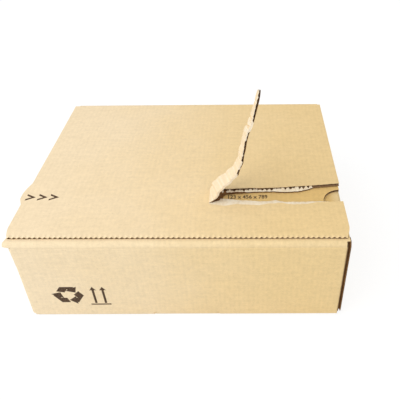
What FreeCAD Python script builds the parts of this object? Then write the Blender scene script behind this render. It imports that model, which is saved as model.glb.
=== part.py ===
import FreeCAD, Part

import math
import os

from FreeCAD import Vector

# Closed mailing carton of corrugated board, folded from one sheet. X runs along its length,
# Y from the front wall to the rear wall and Z up, with the origin under the middle of the box.

# Outside of the box
LENGTH = 310.0
DEPTH = 230.0
HEIGHT = 110.0

# Board and folds
BOARD = 2.8
LINER = 0.35
FLUTE_PITCH = 4.65
FLUTE_WEB = 0.3
FLUTE_OPEN = 5.0
FOLD_INSIDE = 1.4
LAYER_GAP = 0.25
SLOT_CLEARANCE = 1.3

# Lid, hinged on the rear wall and lying a little askew
LEDGE_LEFT = 6.5
LEDGE_RIGHT = 5.0
LID_OVER_LEFT_REAR = 1.0
LID_OVER_LEFT_FRONT = 3.4
LID_SHORT_RIGHT_REAR = 1.0
LID_OVER_RIGHT_FRONT = 0.4
LID_TRIM_LEFT = 3.0
LID_TRIM_RIGHT = 3.6
LID_TRIM_RUN = 12.0
LID_TRIM_ROUND = 8.0
LID_CORNER_ROUND = 1.5
LID_REAR_ROUND = 2.0
LID_EDGE_ROUND = 20.0

# Tear strip across the lid, torn from the right end as far as its root
STRIP_WIDTH = 21.0
STRIP_FRONT_FROM_FACE = 50.5
ROOT_FROM_MIDDLE = 25.0
TAB_REACH = 4.2
TAB_LENGTH = 29.0
TAB_ROUND = 9.0
TAB_ROOT_ROUND = 4.0
TORN_STEP = 1.2
LIFTED_NARROWING = 3.0

# Inner flap, hinged on the front wall
FLAP_REACH = 85.0
FLAP_EDGE_IN = 0.8
FLAP_CORNER = 6.0
NOTCH_RADIUS = 17.5
NOTCH_FROM_FACE = 52.5
EAR_REACH = 3.2
EAR_LENGTH = 15.0
EAR_ROUND = 1.0

# Dust flaps, hinged on the side walls
DUST_REACH = 82.0
DUST_TAPER = 9.0
DUST_CORNER = 8.0

# Bottom: two main flaps hooked into each other over two side flaps
HOOK_REACH = 13.0
HOOK_SLANT = 16.0
HOOK_FROM_MIDDLE = 42.0
SEAM_GAP = 0.6
SEAM_ROUND = 2.0
SIDE_FLAP_REACH = 96.0
SIDE_FLAP_TAPER = 22.0
SIDE_FLAP_CORNER = 6.0
MAIN_FLAP_EDGE_IN = 1.5
CREASE_DEPTH = 0.6
CREASE_WIDTH = 1.6
CREASE_RUN = 70.0

# Lock at the middle of the front wall's bottom fold
LOCK_LENGTH = 64.0
LOCK_HEIGHT = 6.0
LOCK_RECESS = 0.9
LOCK_END_SLIT = 1.8

# Glued joint of the tube at the front right corner
JOINT_REACH = 38.0
JOINT_BEVEL = 9.0
JOINT_ROUND = 3.0
JOINT_CLEARANCE = 1.0
EDGE_GROOVE = 2.4

# Adhesive pads
CLOSURE_WIDTH = 20.0
CLOSURE_FROM_FACE = 14.0
CLOSURE_INSET = 12.0
JOINT_PAD_WIDTH = 22.0
JOINT_PAD_INSET = 8.0
BOTTOM_PAD_SIDE = 34.0
BOTTOM_PAD_INSET = 14.0

# Places that follow from the sizes above
HALF_LENGTH = LENGTH / 2
HALF_DEPTH = DEPTH / 2
FOLD_OUTSIDE = FOLD_INSIDE + BOARD
LID_TOP = HEIGHT
FLAP_TOP = LID_TOP - BOARD - LAYER_GAP
DUST_TOP = FLAP_TOP - BOARD - LAYER_GAP
SIDE_BOTTOM = BOARD + LAYER_GAP
JOINT_FACE = HALF_LENGTH - BOARD - LAYER_GAP
CORNER_LOW = FOLD_OUTSIDE
CORNER_HIGH = FLAP_TOP - FOLD_OUTSIDE
SLOT_END = HALF_DEPTH - FOLD_OUTSIDE - SLOT_CLEARANCE
TEAR_FRONT = STRIP_FRONT_FROM_FACE - HALF_DEPTH
TEAR_REAR = TEAR_FRONT + STRIP_WIDTH
TORN_END = HALF_LENGTH + LID_OVER_RIGHT_FRONT
TORN_LENGTH = TORN_END - ROOT_FROM_MIDDLE
FLUTE_LOW = LINER
FLUTE_HIGH = BOARD - LINER

# Torn edges: share of the torn length from the root, and how far the edge stands into the gap
REAR_LINER_EDGE = [(0.0, 3.0), (0.23, 3.3), (0.31, 2.0), (0.38, 3.2), (0.54, 2.0),
                   (0.62, 0.6), (0.77, -0.6), (1.0, -3.5)]
REAR_LAYER_EDGE = [(0.0, 11.5), (0.17, 9.0), (0.32, 7.6), (0.51, 7.4), (0.68, 7.0),
                   (0.75, 5.0), (0.8, 1.6), (1.0, -3.5)]
FRONT_LINER_EDGE = [(0.0, -3.0), (0.12, -5.6), (0.2, -3.2), (0.37, -5.0), (0.43, -3.0),
                    (0.54, -2.0), (0.62, -4.2), (0.73, -3.6), (0.8, -1.0), (1.0, -0.2)]
FRONT_LAYER_EDGE = [(0.0, 6.4), (0.14, 5.2), (0.24, 3.2), (0.37, 1.7), (0.45, 1.9), (0.5, 3.2),
                    (0.56, 0.3), (0.68, 0.8), (0.8, 1.2), (1.0, -0.2)]

# Lifted strip: share of its length, heading of its front edge above level in degrees, and
# where its rear edge lies from the front edge along X and Z
STRIP_CREASES = [
    (0.08, 49.0, -5.5, -2.0),
    (0.08, 60.0, -7.0, -3.5),
    (0.07, 47.0, -5.0, -3.0),
    (0.08, 53.0, -4.0, -3.5),
    (0.11, 71.5, -3.0, -6.0),
    (0.12, 79.0, -3.0, -8.0),
    (0.13, 80.0, -2.5, -8.5),
    (0.11, 72.0, -3.0, -8.0),
    (0.12, 75.5, -2.0, -8.5),
]
STRIP_ROOT_REAR = (-0.7, -0.4)
TIP_SHARE = 0.10
TIP_HEADING = 77.0
TIP_STEPS = 4
TIP_WIDTH_LEFT = 0.3


def rounded_wire(corners, place):
    """Closed wire through corners (u, v, radius); place turns u and v into a point."""
    count = len(corners)
    spans = []
    for index, (u, v, radius) in enumerate(corners):
        here = Vector(u, v, 0)
        before = Vector(*corners[index - 1][:2], 0) - here
        after = Vector(*corners[(index + 1) % count][:2], 0) - here
        before.normalize()
        after.normalize()
        if radius <= 0:
            spans.append((here, None, here))
            continue
        half = before.getAngle(after) / 2
        reach = radius / math.tan(half)
        middle = before + after
        middle.normalize()
        middle = here + middle * (radius / math.sin(half) - radius)
        spans.append((here + before * reach, middle, here + after * reach))
    edges = []
    for index, (enter, middle, leave) in enumerate(spans):
        if middle is not None:
            arc = Part.Arc(place(enter.x, enter.y), place(middle.x, middle.y), place(leave.x, leave.y))
            edges.append(arc.toShape())
        following = spans[(index + 1) % count][0]
        if leave.distanceToPoint(following) > 1e-6:
            edges.append(Part.LineSegment(place(leave.x, leave.y),
                                          place(following.x, following.y)).toShape())
    return Part.Wire(edges)


def plate(corners, low, high):
    """Flat piece between two heights with an outline of (x, y, radius) corners."""
    wire = rounded_wire(corners, lambda u, v: Vector(u, v, low))
    return Part.Face(wire).extrude(Vector(0, 0, high - low))


def block(x_low, x_high, y_low, y_high, z_low, z_high):
    """Box between two corners."""
    return Part.makeBox(x_high - x_low, y_high - y_low, z_high - z_low, Vector(x_low, y_low, z_low))


def wall_section(half, low, high, place):
    """Section of a wall with the start of the flap at its foot and at its head."""
    outer_end = FOLD_OUTSIDE + BOARD - half
    corners = [
        (outer_end, low, 0), (-half, low, FOLD_OUTSIDE),
        (-half, high, FOLD_OUTSIDE), (outer_end, high, 0),
        (outer_end, high - BOARD, 0), (BOARD - half, high - BOARD, FOLD_INSIDE),
        (BOARD - half, low + BOARD, FOLD_INSIDE), (outer_end, low + BOARD, 0),
    ]
    return Part.Face(rounded_wire(corners, place))


def corner_fold(centre_x, centre_y, start, low, high):
    """Upright rounded fold, a quarter of a ring that begins at the angle start."""
    base = Vector(centre_x, centre_y, low)
    outer = Part.makeCylinder(FOLD_OUTSIDE, high - low, base, Vector(0, 0, 1), 90)
    inner = Part.makeCylinder(FOLD_INSIDE, high - low, base, Vector(0, 0, 1), 90)
    ring = outer.cut(inner)
    ring.rotate(base, Vector(0, 0, 1), start)
    return ring


def upright_walls():
    """The four walls with their folds, and the flap of the glued joint."""
    left = FOLD_OUTSIDE - HALF_LENGTH
    right = HALF_LENGTH - FOLD_OUTSIDE
    joint = JOINT_FACE - FOLD_OUTSIDE
    near = FOLD_OUTSIDE - HALF_DEPTH
    far = HALF_DEPTH - FOLD_OUTSIDE

    front = wall_section(HALF_DEPTH, 0, FLAP_TOP, lambda u, v: Vector(left, u, v))
    rear = wall_section(HALF_DEPTH, 0, LID_TOP, lambda u, v: Vector(left, -u, v))
    port = wall_section(HALF_LENGTH, SIDE_BOTTOM, DUST_TOP, lambda u, v: Vector(u, -SLOT_END, v))
    starboard = wall_section(HALF_LENGTH, SIDE_BOTTOM, DUST_TOP, lambda u, v: Vector(-u, -SLOT_END, v))
    pieces = [
        front.extrude(Vector(joint - left, 0, 0)),
        rear.extrude(Vector(right - left, 0, 0)),
        port.extrude(Vector(0, 2 * SLOT_END, 0)),
        starboard.extrude(Vector(0, 2 * SLOT_END, 0)),
    ]

    wall_low = SIDE_BOTTOM + FOLD_OUTSIDE
    wall_high = DUST_TOP - FOLD_OUTSIDE
    inside = HALF_LENGTH - BOARD
    pieces += [
        block(-HALF_LENGTH, -inside, near, far, wall_low, wall_high),
        block(inside, HALF_LENGTH, near, far, wall_low, wall_high),
        block(inside, HALF_LENGTH, -HALF_DEPTH, near, CORNER_LOW, CORNER_HIGH),
        corner_fold(left, near, 180, CORNER_LOW, CORNER_HIGH),
        corner_fold(left, far, 90, CORNER_LOW, CORNER_HIGH),
        corner_fold(right, far, 0, CORNER_LOW, CORNER_HIGH),
        corner_fold(joint, near, 270, CORNER_LOW, CORNER_HIGH),
    ]
    return pieces + [joint_flap(near, wall_low + JOINT_CLEARANCE, wall_high - JOINT_CLEARANCE)]


def joint_flap(near, low, high):
    """Flap of the front wall that is glued inside the right wall."""
    end = JOINT_REACH - HALF_DEPTH
    corners = [(near, low, 0), (end, low + JOINT_BEVEL, JOINT_ROUND),
               (end, high - JOINT_BEVEL, JOINT_ROUND), (near, high, 0)]
    wire = rounded_wire(corners, lambda u, v: Vector(JOINT_FACE - BOARD, u, v))
    return Part.Face(wire).extrude(Vector(BOARD, 0, 0))


def lid_plate():
    """Lid ahead of its rear fold, with the tear strip's tab on its left edge."""
    low = LID_TOP - BOARD
    rear = HALF_DEPTH - FOLD_OUTSIDE
    left_rear = -HALF_LENGTH - LID_OVER_LEFT_REAR
    left_front = -HALF_LENGTH - LID_OVER_LEFT_FRONT
    right_rear = HALF_LENGTH - LID_SHORT_RIGHT_REAR
    right_front = HALF_LENGTH + LID_OVER_RIGHT_FRONT
    front_left = LEDGE_LEFT - HALF_DEPTH
    front_right = LEDGE_RIGHT - HALF_DEPTH
    middle = (TEAR_FRONT + TEAR_REAR) / 2
    corners = [
        (left_rear, rear, LID_REAR_ROUND),
        (left_front, middle + TAB_LENGTH / 2, TAB_ROOT_ROUND),
        (left_front - TAB_REACH, middle + TAB_LENGTH / 5, TAB_ROUND),
        (left_front - TAB_REACH, middle - TAB_LENGTH / 5, TAB_ROUND),
        (left_front, middle - TAB_LENGTH / 2, TAB_ROOT_ROUND),
        (left_front, front_left + LID_TRIM_RUN, LID_TRIM_ROUND),
        (left_front + LID_TRIM_LEFT, front_left, LID_CORNER_ROUND),
        (right_front - LID_TRIM_RIGHT, front_right, LID_CORNER_ROUND),
        (right_front, front_right + LID_TRIM_RUN, LID_TRIM_ROUND),
        (right_front, middle, LID_EDGE_ROUND),
        (right_rear, rear, LID_REAR_ROUND),
    ]
    return plate(corners, low, LID_TOP)


def torn_edge(shape, nominal, into_gap):
    """Points along a torn edge at the distance into the gap that the shape gives."""
    return [(ROOT_FROM_MIDDLE + share * TORN_LENGTH, nominal + into_gap * stand, 0)
            for share, stand in shape]


def torn_gap():
    """Space left by the lifted strip, wider in the outer liner than in the layers below."""
    past = 3 * TAB_REACH
    layers = [
        (REAR_LINER_EDGE, FRONT_LINER_EDGE, LID_TOP - BOARD + TORN_STEP, LID_TOP + BOARD),
        (REAR_LAYER_EDGE, FRONT_LAYER_EDGE, LID_TOP - 2 * BOARD, LID_TOP - BOARD + TORN_STEP),
    ]
    cuts = []
    for rear_shape, front_shape, low, high in layers:
        rear = torn_edge(rear_shape, TEAR_REAR, -1)
        front = torn_edge(front_shape, TEAR_FRONT, 1)
        end = [(rear[-1][0] + past, rear[-1][1], 0), (front[-1][0] + past, front[-1][1], 0)]
        cuts.append(plate(rear + end + front[::-1], low, high))
    return cuts[0].fuse(cuts[1])


def edge_height(shape, share):
    """How far a torn edge stands into the gap at one share of its length."""
    for (start, low), (end, high) in zip(shape, shape[1:]):
        if share <= end:
            return low + (high - low) * (share - start) / (end - start)
    return shape[-1][1]


def flute_hollows(x, y_start, y_end, low):
    """Two hollows of one flute, under and over its wave, between two places along Y."""
    half = FLUTE_PITCH / 2 - FLUTE_WEB
    rise = FLUTE_HIGH - FLUTE_LOW - FLUTE_WEB
    under = [(x - half, low + FLUTE_LOW), (x + half, low + FLUTE_LOW), (x, low + FLUTE_LOW + rise)]
    over_x = x + FLUTE_PITCH / 2
    top = low + FLUTE_HIGH
    over = [(over_x + half, top), (over_x - half, top), (over_x, top - rise)]
    hollows = []
    for triangle in (under, over):
        points = [Vector(u, y_start, v) for u, v in triangle]
        face = Part.Face(Part.makePolygon(points + points[:1]))
        hollows.append(face.extrude(Vector(0, y_end - y_start, 0)))
    return hollows


def lid_front_flutes():
    """Open flutes along the cut front edge of the lid."""
    left = LID_TRIM_LEFT - LID_OVER_LEFT_FRONT - HALF_LENGTH
    right = HALF_LENGTH + LID_OVER_RIGHT_FRONT - LID_TRIM_RIGHT
    count = int((right - left) / FLUTE_PITCH) - 1
    margin = (right - left - count * FLUTE_PITCH) / 2
    hollows = []
    for index in range(count):
        x = left + margin + (index + 0.25) * FLUTE_PITCH
        share = (x - left) / (right - left)
        edge = LEDGE_LEFT + (LEDGE_RIGHT - LEDGE_LEFT) * share - HALF_DEPTH
        hollows += flute_hollows(x, -HALF_DEPTH, edge + FLUTE_OPEN, LID_TOP - BOARD)
    return hollows


def torn_flutes():
    """Uneven holes under the torn outer liner along the rear side of the gap."""
    low = LID_TOP - BOARD + TORN_STEP
    high = LID_TOP - LINER
    holes = []
    for index in range(2, int(TORN_LENGTH / FLUTE_PITCH)):
        width = FLUTE_PITCH * (0.55 + 0.25 * math.sin(2.4 * index))
        x = ROOT_FROM_MIDDLE + index * FLUTE_PITCH
        edge = TEAR_REAR - edge_height(REAR_LINER_EDGE, (x - ROOT_FROM_MIDDLE) / TORN_LENGTH)
        holes.append(block(x - width / 2, x + width / 2, edge - BOARD, edge + FLUTE_OPEN / 2, low, high))
    return holes


def strip_sections():
    """Front and rear points of the lifted strip's outer face, from its root to its tip."""
    depth = STRIP_WIDTH - LIFTED_NARROWING
    length = TORN_LENGTH + TAB_REACH
    start = Vector(ROOT_FROM_MIDDLE, TEAR_FRONT - LIFTED_NARROWING / 2, LID_TOP)
    rear_x, rear_z = STRIP_ROOT_REAR
    root_rear = start + Vector(rear_x, STRIP_WIDTH, rear_z)
    inset = Vector(-BOARD, 0, -LINER)
    sections = [(start + inset, root_rear + inset), (start, root_rear)]
    front = start
    for share, heading, rear_x, rear_z in STRIP_CREASES:
        angle = math.radians(heading)
        front = front + Vector(math.cos(angle), 0, math.sin(angle)) * (share * length)
        sections.append((front, front + Vector(rear_x, depth, rear_z)))
    angle = math.radians(TIP_HEADING)
    step = Vector(math.cos(angle), 0, math.sin(angle)) * (TIP_SHARE * length / TIP_STEPS)
    last_front, last_rear = sections[-1]
    for index in range(1, TIP_STEPS + 1):
        turn = math.pi / 2 * index / TIP_STEPS
        kept = TIP_WIDTH_LEFT + (1 - TIP_WIDTH_LEFT) * math.cos(turn)
        along = step * (TIP_STEPS * math.sin(turn))
        middle = (last_front + last_rear) / 2
        sections.append((middle + (last_front - middle) * kept + along,
                         middle + (last_rear - middle) * kept + along))
    return sections


def panel_normal(section, following):
    """Direction from the outer face of one strip panel to its inner face."""
    along = following[0] + following[1] - section[0] - section[1]
    across = section[1] - section[0]
    normal = along.cross(across)
    normal.normalize()
    return -normal


def lifted_strip():
    """Torn strip that stands up from its root, bent at its creases."""
    outer = strip_sections()
    normals = [panel_normal(a, b) for a, b in zip(outer, outer[1:])]
    rings = []
    for index, (front, rear) in enumerate(outer):
        before = normals[max(index - 1, 0)]
        after = normals[min(index, len(normals) - 1)]
        normal = before + after
        normal.normalize()
        thick = normal * BOARD
        rings.append([front, rear, rear + thick, front + thick])
    faces = [Part.Face(Part.makePolygon(rings[0] + rings[0][:1])),
             Part.Face(Part.makePolygon(rings[-1] + rings[-1][:1]))]
    for ring, following in zip(rings, rings[1:]):
        for side in range(4):
            a, b = ring[side], ring[(side + 1) % 4]
            c, d = following[(side + 1) % 4], following[side]
            faces.append(Part.Face(Part.makePolygon([a, b, c, a])))
            faces.append(Part.Face(Part.makePolygon([a, c, d, a])))
    return Part.Solid(Part.makeShell(faces))


def strip_flutes():
    """Open flutes along both torn edges of the lifted strip."""
    outer = strip_sections()[1:-TIP_STEPS]
    holes = []
    for section, following in zip(outer, outer[1:]):
        inward = panel_normal(section, following)
        run = following[0] - section[0]
        count = max(1, int(run.Length / FLUTE_PITCH))
        for index in range(count):
            share = (index + 0.5) / count
            front = section[0] + (following[0] - section[0]) * share
            rear = section[1] + (following[1] - section[1]) * share
            holes += [flute_hole(front, rear, run, inward), flute_hole(rear, front, run, inward)]
    return holes


def flute_hole(mouth, far, run, inward):
    """Hole that enters the strip at mouth and runs towards far."""
    along = Vector(run)
    along.normalize()
    into = far - mouth
    into.normalize()
    half = along * (FLUTE_PITCH / 2 - FLUTE_WEB) * 0.75
    start = mouth - into * BOARD
    low = inward * FLUTE_LOW
    high = inward * FLUTE_HIGH
    points = [start - half + low, start + half + low, start + half * 0.4 + high, start - half * 0.4 + high]
    return Part.Face(Part.makePolygon(points + points[:1])).extrude(into * (FLUTE_OPEN + BOARD))


def inner_flap():
    """Flap under the lid, with a finger notch in its right edge and an ear at its left fold."""
    near = FOLD_OUTSIDE - HALF_DEPTH
    far = FLAP_REACH - HALF_DEPTH
    side = HALF_LENGTH - FLAP_EDGE_IN
    low = FLAP_TOP - BOARD
    flap = plate([(-side, near, 0), (side, near, 0), (side, far, FLAP_CORNER), (-side, far, FLAP_CORNER)],
                 low, FLAP_TOP)
    notch = Part.makeCylinder(NOTCH_RADIUS, 3 * BOARD,
                              Vector(side, NOTCH_FROM_FACE - HALF_DEPTH, low - BOARD))
    return flap.cut(notch)


def inner_flap_fold():
    """Rounded fold between front wall and inner flap, with the ear crushed out on the left."""
    left = -HALF_LENGTH - EAR_REACH
    right = HALF_LENGTH - FLAP_EDGE_IN
    ear_root = -HALF_LENGTH + FOLD_OUTSIDE
    section = wall_section(HALF_DEPTH, 0, FLAP_TOP, lambda u, v: Vector(left, u, v))
    whole = section.extrude(Vector(right - left, 0, 0))
    reach = block(left, right, -HALF_DEPTH, FOLD_OUTSIDE - HALF_DEPTH, CORNER_HIGH, FLAP_TOP)
    fold = whole.common(reach)
    ear = plate([(left, -HALF_DEPTH + FOLD_INSIDE, EAR_ROUND), (ear_root, -HALF_DEPTH + FOLD_INSIDE, 0),
                 (ear_root, EAR_LENGTH - HALF_DEPTH, 0)], FLAP_TOP - BOARD, FLAP_TOP)
    return fold.fuse(ear)


def dust_flap(side):
    """Flap on a side wall's head, on the left for -1 and on the right for 1."""
    near = side * (HALF_LENGTH - FOLD_OUTSIDE)
    far = side * (HALF_LENGTH - DUST_REACH)
    wide = SLOT_END
    narrow = SLOT_END - DUST_TAPER
    return plate([(near, -wide, 0), (far, -narrow, DUST_CORNER), (far, narrow, DUST_CORNER), (near, wide, 0)],
                 DUST_TOP - BOARD, DUST_TOP)


def side_bottom_flap(side):
    """Flap on a side wall's foot, inside the main flaps."""
    near = side * (HALF_LENGTH - FOLD_OUTSIDE)
    far = side * (HALF_LENGTH - SIDE_FLAP_REACH)
    wide = SLOT_END
    narrow = SLOT_END - SIDE_FLAP_TAPER
    return plate([(near, -wide, 0), (far, -narrow, SIDE_FLAP_CORNER),
                  (far, narrow, SIDE_FLAP_CORNER), (near, wide, 0)],
                 SIDE_BOTTOM, SIDE_BOTTOM + BOARD)


def main_bottom_flap(turn):
    """Flap on the front wall's foot for turn -1 and on the rear wall's foot for turn 1."""
    edge = HALF_LENGTH - MAIN_FLAP_EDGE_IN
    near = turn * (HALF_DEPTH - FOLD_OUTSIDE)
    shift = turn * SEAM_GAP / 2
    seam = [(-edge, HOOK_REACH), (-HOOK_FROM_MIDDLE - HOOK_SLANT / 2, HOOK_REACH),
            (-HOOK_FROM_MIDDLE + HOOK_SLANT / 2, -HOOK_REACH), (edge, -HOOK_REACH)]
    corners = [(edge, near, 0), (-edge, near, 0)] + [(x, y + shift, SEAM_ROUND) for x, y in seam]
    flap = plate(corners, 0, BOARD)
    for side in (-1, 1):
        flap = flap.cut(diagonal_crease(side * edge, near, side, -turn))
    return flap


def diagonal_crease(x, y, side, inward):
    """Shallow groove under a main flap, at 45 degrees from its outer corner."""
    length = CREASE_RUN * math.sqrt(2)
    groove = block(0, length, -CREASE_WIDTH / 2, CREASE_WIDTH / 2, -BOARD, CREASE_DEPTH)
    groove.rotate(Vector(0, 0, 0), Vector(0, 0, 1), math.degrees(math.atan2(inward, -side)))
    groove.translate(Vector(x, y, 0))
    return groove


def bottom_lock():
    """Shallow recess with a slit at each end, at the middle of the front bottom fold."""
    half = LOCK_LENGTH / 2
    face = -HALF_DEPTH
    cuts = [block(-half, half, face - BOARD, face + LOCK_RECESS, FOLD_OUTSIDE / 2, LOCK_HEIGHT)]
    for side in (-half, half):
        cuts.append(block(side - LOCK_END_SLIT / 2, side + LOCK_END_SLIT / 2,
                          face - BOARD, face + 2 * BOARD, FOLD_OUTSIDE / 2, LOCK_HEIGHT))
    return cuts


def joint_edge_grooves():
    """Open flute on each side of the medium along the right wall's cut front edge."""
    middle = HALF_LENGTH - BOARD / 2
    outer = HALF_LENGTH - LINER
    inner = HALF_LENGTH - BOARD + LINER
    return [
        block(low, high, -HALF_DEPTH - BOARD, -HALF_DEPTH + EDGE_GROOVE, CORNER_LOW, CORNER_HIGH)
        for low, high in ((inner, middle - FLUTE_WEB / 2), (middle + FLUTE_WEB / 2, outer))
    ]


def carton():
    """The folded sheet as one solid."""
    body = upright_walls()
    body += [inner_flap(), inner_flap_fold()]
    for side in (-1, 1):
        body += [dust_flap(side), side_bottom_flap(side), main_bottom_flap(side)]
    lid = lid_plate().cut(torn_gap()).cut(Part.makeCompound(lid_front_flutes() + torn_flutes()))
    strip = lifted_strip().cut(Part.makeCompound(strip_flutes()))
    solid = body[0].multiFuse(body[1:] + [lid, strip])
    solid = solid.cut(Part.makeCompound(bottom_lock() + joint_edge_grooves()))
    return solid.removeSplitter()


def closure_adhesive():
    """Strip of adhesive that holds the lid's front edge on the inner flap."""
    half = HALF_LENGTH - CLOSURE_INSET
    near = CLOSURE_FROM_FACE - HALF_DEPTH
    return block(-half, half, near, near + CLOSURE_WIDTH, FLAP_TOP, FLAP_TOP + LAYER_GAP)


def joint_adhesive():
    """Pad of adhesive between the joint flap and the right wall."""
    near = FOLD_OUTSIDE + JOINT_PAD_INSET - HALF_DEPTH
    low = SIDE_BOTTOM + FOLD_OUTSIDE + JOINT_CLEARANCE + JOINT_BEVEL + JOINT_PAD_INSET
    high = DUST_TOP - FOLD_OUTSIDE - JOINT_CLEARANCE - JOINT_BEVEL - JOINT_PAD_INSET
    return block(JOINT_FACE, JOINT_FACE + LAYER_GAP, near, near + JOINT_PAD_WIDTH, low, high)


def bottom_adhesive(side, turn):
    """Triangular pad of adhesive at one corner between a main flap and a side flap."""
    x = side * (HALF_LENGTH - BOTTOM_PAD_INSET)
    y = turn * (HALF_DEPTH - BOTTOM_PAD_INSET)
    corners = [(x, y, 0), (x - side * BOTTOM_PAD_SIDE, y, 0), (x, y - turn * BOTTOM_PAD_SIDE, 0)]
    return plate(corners, BOARD, BOARD + LAYER_GAP)


def main():
    """Build every piece and write one file for each."""
    os.makedirs("parts", exist_ok=True)
    pieces = {
        "carton": carton(),
        "closure_adhesive": closure_adhesive(),
        "joint_adhesive": joint_adhesive(),
    }
    for side, side_name in ((-1, "left"), (1, "right")):
        for turn, turn_name in ((-1, "front"), (1, "rear")):
            pieces[f"bottom_adhesive_{turn_name}_{side_name}"] = bottom_adhesive(side, turn)
    for name, shape in pieces.items():
        shape.exportStep(f"parts/{name}.step")
        print(name, len(shape.Solids), shape.isValid(), round(shape.Volume / 1000, 2))


main()
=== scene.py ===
"""Looks of a closed corrugated mailing carton whose opening strip is torn and stands up.

Sizes are in millimetres and become metres when a mesh is made. X runs along the front wall,
Y from the front wall to the rear wall and Z up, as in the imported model.
"""

import logging
import math
from collections.abc import Callable
from dataclasses import dataclass, field, replace
from enum import Enum

import bmesh
import bpy
import numpy as np
from mathutils import Matrix, Vector, noise


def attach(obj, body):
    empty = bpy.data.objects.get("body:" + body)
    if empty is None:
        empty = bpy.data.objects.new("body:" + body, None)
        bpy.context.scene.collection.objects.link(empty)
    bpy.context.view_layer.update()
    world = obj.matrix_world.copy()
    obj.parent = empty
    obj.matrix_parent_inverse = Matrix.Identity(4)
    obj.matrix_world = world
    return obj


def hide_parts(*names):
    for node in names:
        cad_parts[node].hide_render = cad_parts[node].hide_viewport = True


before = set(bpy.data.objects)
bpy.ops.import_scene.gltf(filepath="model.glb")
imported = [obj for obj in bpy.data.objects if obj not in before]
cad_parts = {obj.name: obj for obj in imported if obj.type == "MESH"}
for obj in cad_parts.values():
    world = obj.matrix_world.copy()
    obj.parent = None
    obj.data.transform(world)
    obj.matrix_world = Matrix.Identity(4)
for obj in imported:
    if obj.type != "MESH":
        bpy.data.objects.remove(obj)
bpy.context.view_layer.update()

MM = 0.001
BODY = "root"
CARTON_NODE = "carton"
FLUTE_MAP = "flutes"
# Attribute of the liner: rubbing where positive, painted shade where negative.
WEAR_AND_SHADE = "wear_and_shade"
SHARP_ANGLE = math.radians(38)

Array = np.ndarray

log = logging.getLogger("carton")


@dataclass(frozen=True)
class CartonSizes:
    """Sizes that the carton's pieces share, in mm."""

    length: float = 310.0
    depth: float = 230.0
    height: float = 110.0
    board: float = 2.8
    liner: float = 0.35
    web: float = 0.3
    pitch: float = 4.65
    fold_inside: float = 1.4
    layer_gap: float = 0.25
    slot_clearance: float = 1.3

    @property
    def half_length(self) -> float:
        """Half of the outside length."""
        return self.length / 2

    @property
    def half_depth(self) -> float:
        """Half of the outside depth."""
        return self.depth / 2

    @property
    def fold(self) -> float:
        """Outside radius of every fold."""
        return self.fold_inside + self.board

    @property
    def flap_top(self) -> float:
        """Height of the inner flap's upper face."""
        return self.height - self.board - self.layer_gap

    @property
    def dust_top(self) -> float:
        """Height of the dust flaps' upper face."""
        return self.flap_top - self.board - self.layer_gap

    @property
    def side_bottom(self) -> float:
        """Height of the side bottom flaps' lower face."""
        return self.board + self.layer_gap

    @property
    def joint_face(self) -> float:
        """Place along X of the outer face of the glued joint's flap."""
        return self.half_length - self.board - self.layer_gap

    @property
    def corner_low(self) -> float:
        """Height at which the upright corner folds begin."""
        return self.fold

    @property
    def corner_high(self) -> float:
        """Height at which the upright corner folds end."""
        return self.flap_top - self.fold

    @property
    def slot_end(self) -> float:
        """Half width of the flaps on the side walls."""
        return self.half_depth - self.fold - self.slot_clearance


SIZES = CartonSizes()


class Signal:
    """Output of a node, with arithmetic that adds Math nodes."""

    def __init__(self, graph: "Graph", socket: bpy.types.NodeSocket) -> None:
        """Wrap one output socket of a graph."""
        self.graph = graph
        self.socket = socket

    def _math(self, operation: str, *values: "Signal | float") -> "Signal":
        """Math node with this operation on the values in order."""
        inputs = dict(enumerate(values))
        return self.graph.out("ShaderNodeMath", {"operation": operation}, inputs)

    def __add__(self, other: "Signal | float") -> "Signal":
        """Sum."""
        return self._math("ADD", self, other)

    __radd__ = __add__

    def __sub__(self, other: "Signal | float") -> "Signal":
        """Difference."""
        return self._math("SUBTRACT", self, other)

    def __mul__(self, other: "Signal | float") -> "Signal":
        """Product."""
        return self._math("MULTIPLY", self, other)

    def __truediv__(self, other: "Signal | float") -> "Signal":
        """Quotient."""
        return self._math("DIVIDE", self, other)

    def cosine(self) -> "Signal":
        """Cosine of an angle in radians."""
        return self._math("COSINE", self)

    def between(self, low: float, high: float) -> "Signal":
        """Smooth step from 0 at low to 1 at high."""
        settings = {"interpolation_type": "SMOOTHSTEP"}
        return self.graph.out("ShaderNodeMapRange", settings, {0: self, 1: low, 2: high})


@dataclass(frozen=True)
class Texture:
    """Noise that a finish is made of.

    Attributes:
        scale: Lumps in a metre.
        detail: Number of finer layers.
        roughness: Strength of the finer layers.
        axes: Scale of each axis, below 1 where the noise is drawn out.
    """

    scale: float
    detail: float
    roughness: float
    axes: tuple | None = None


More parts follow.
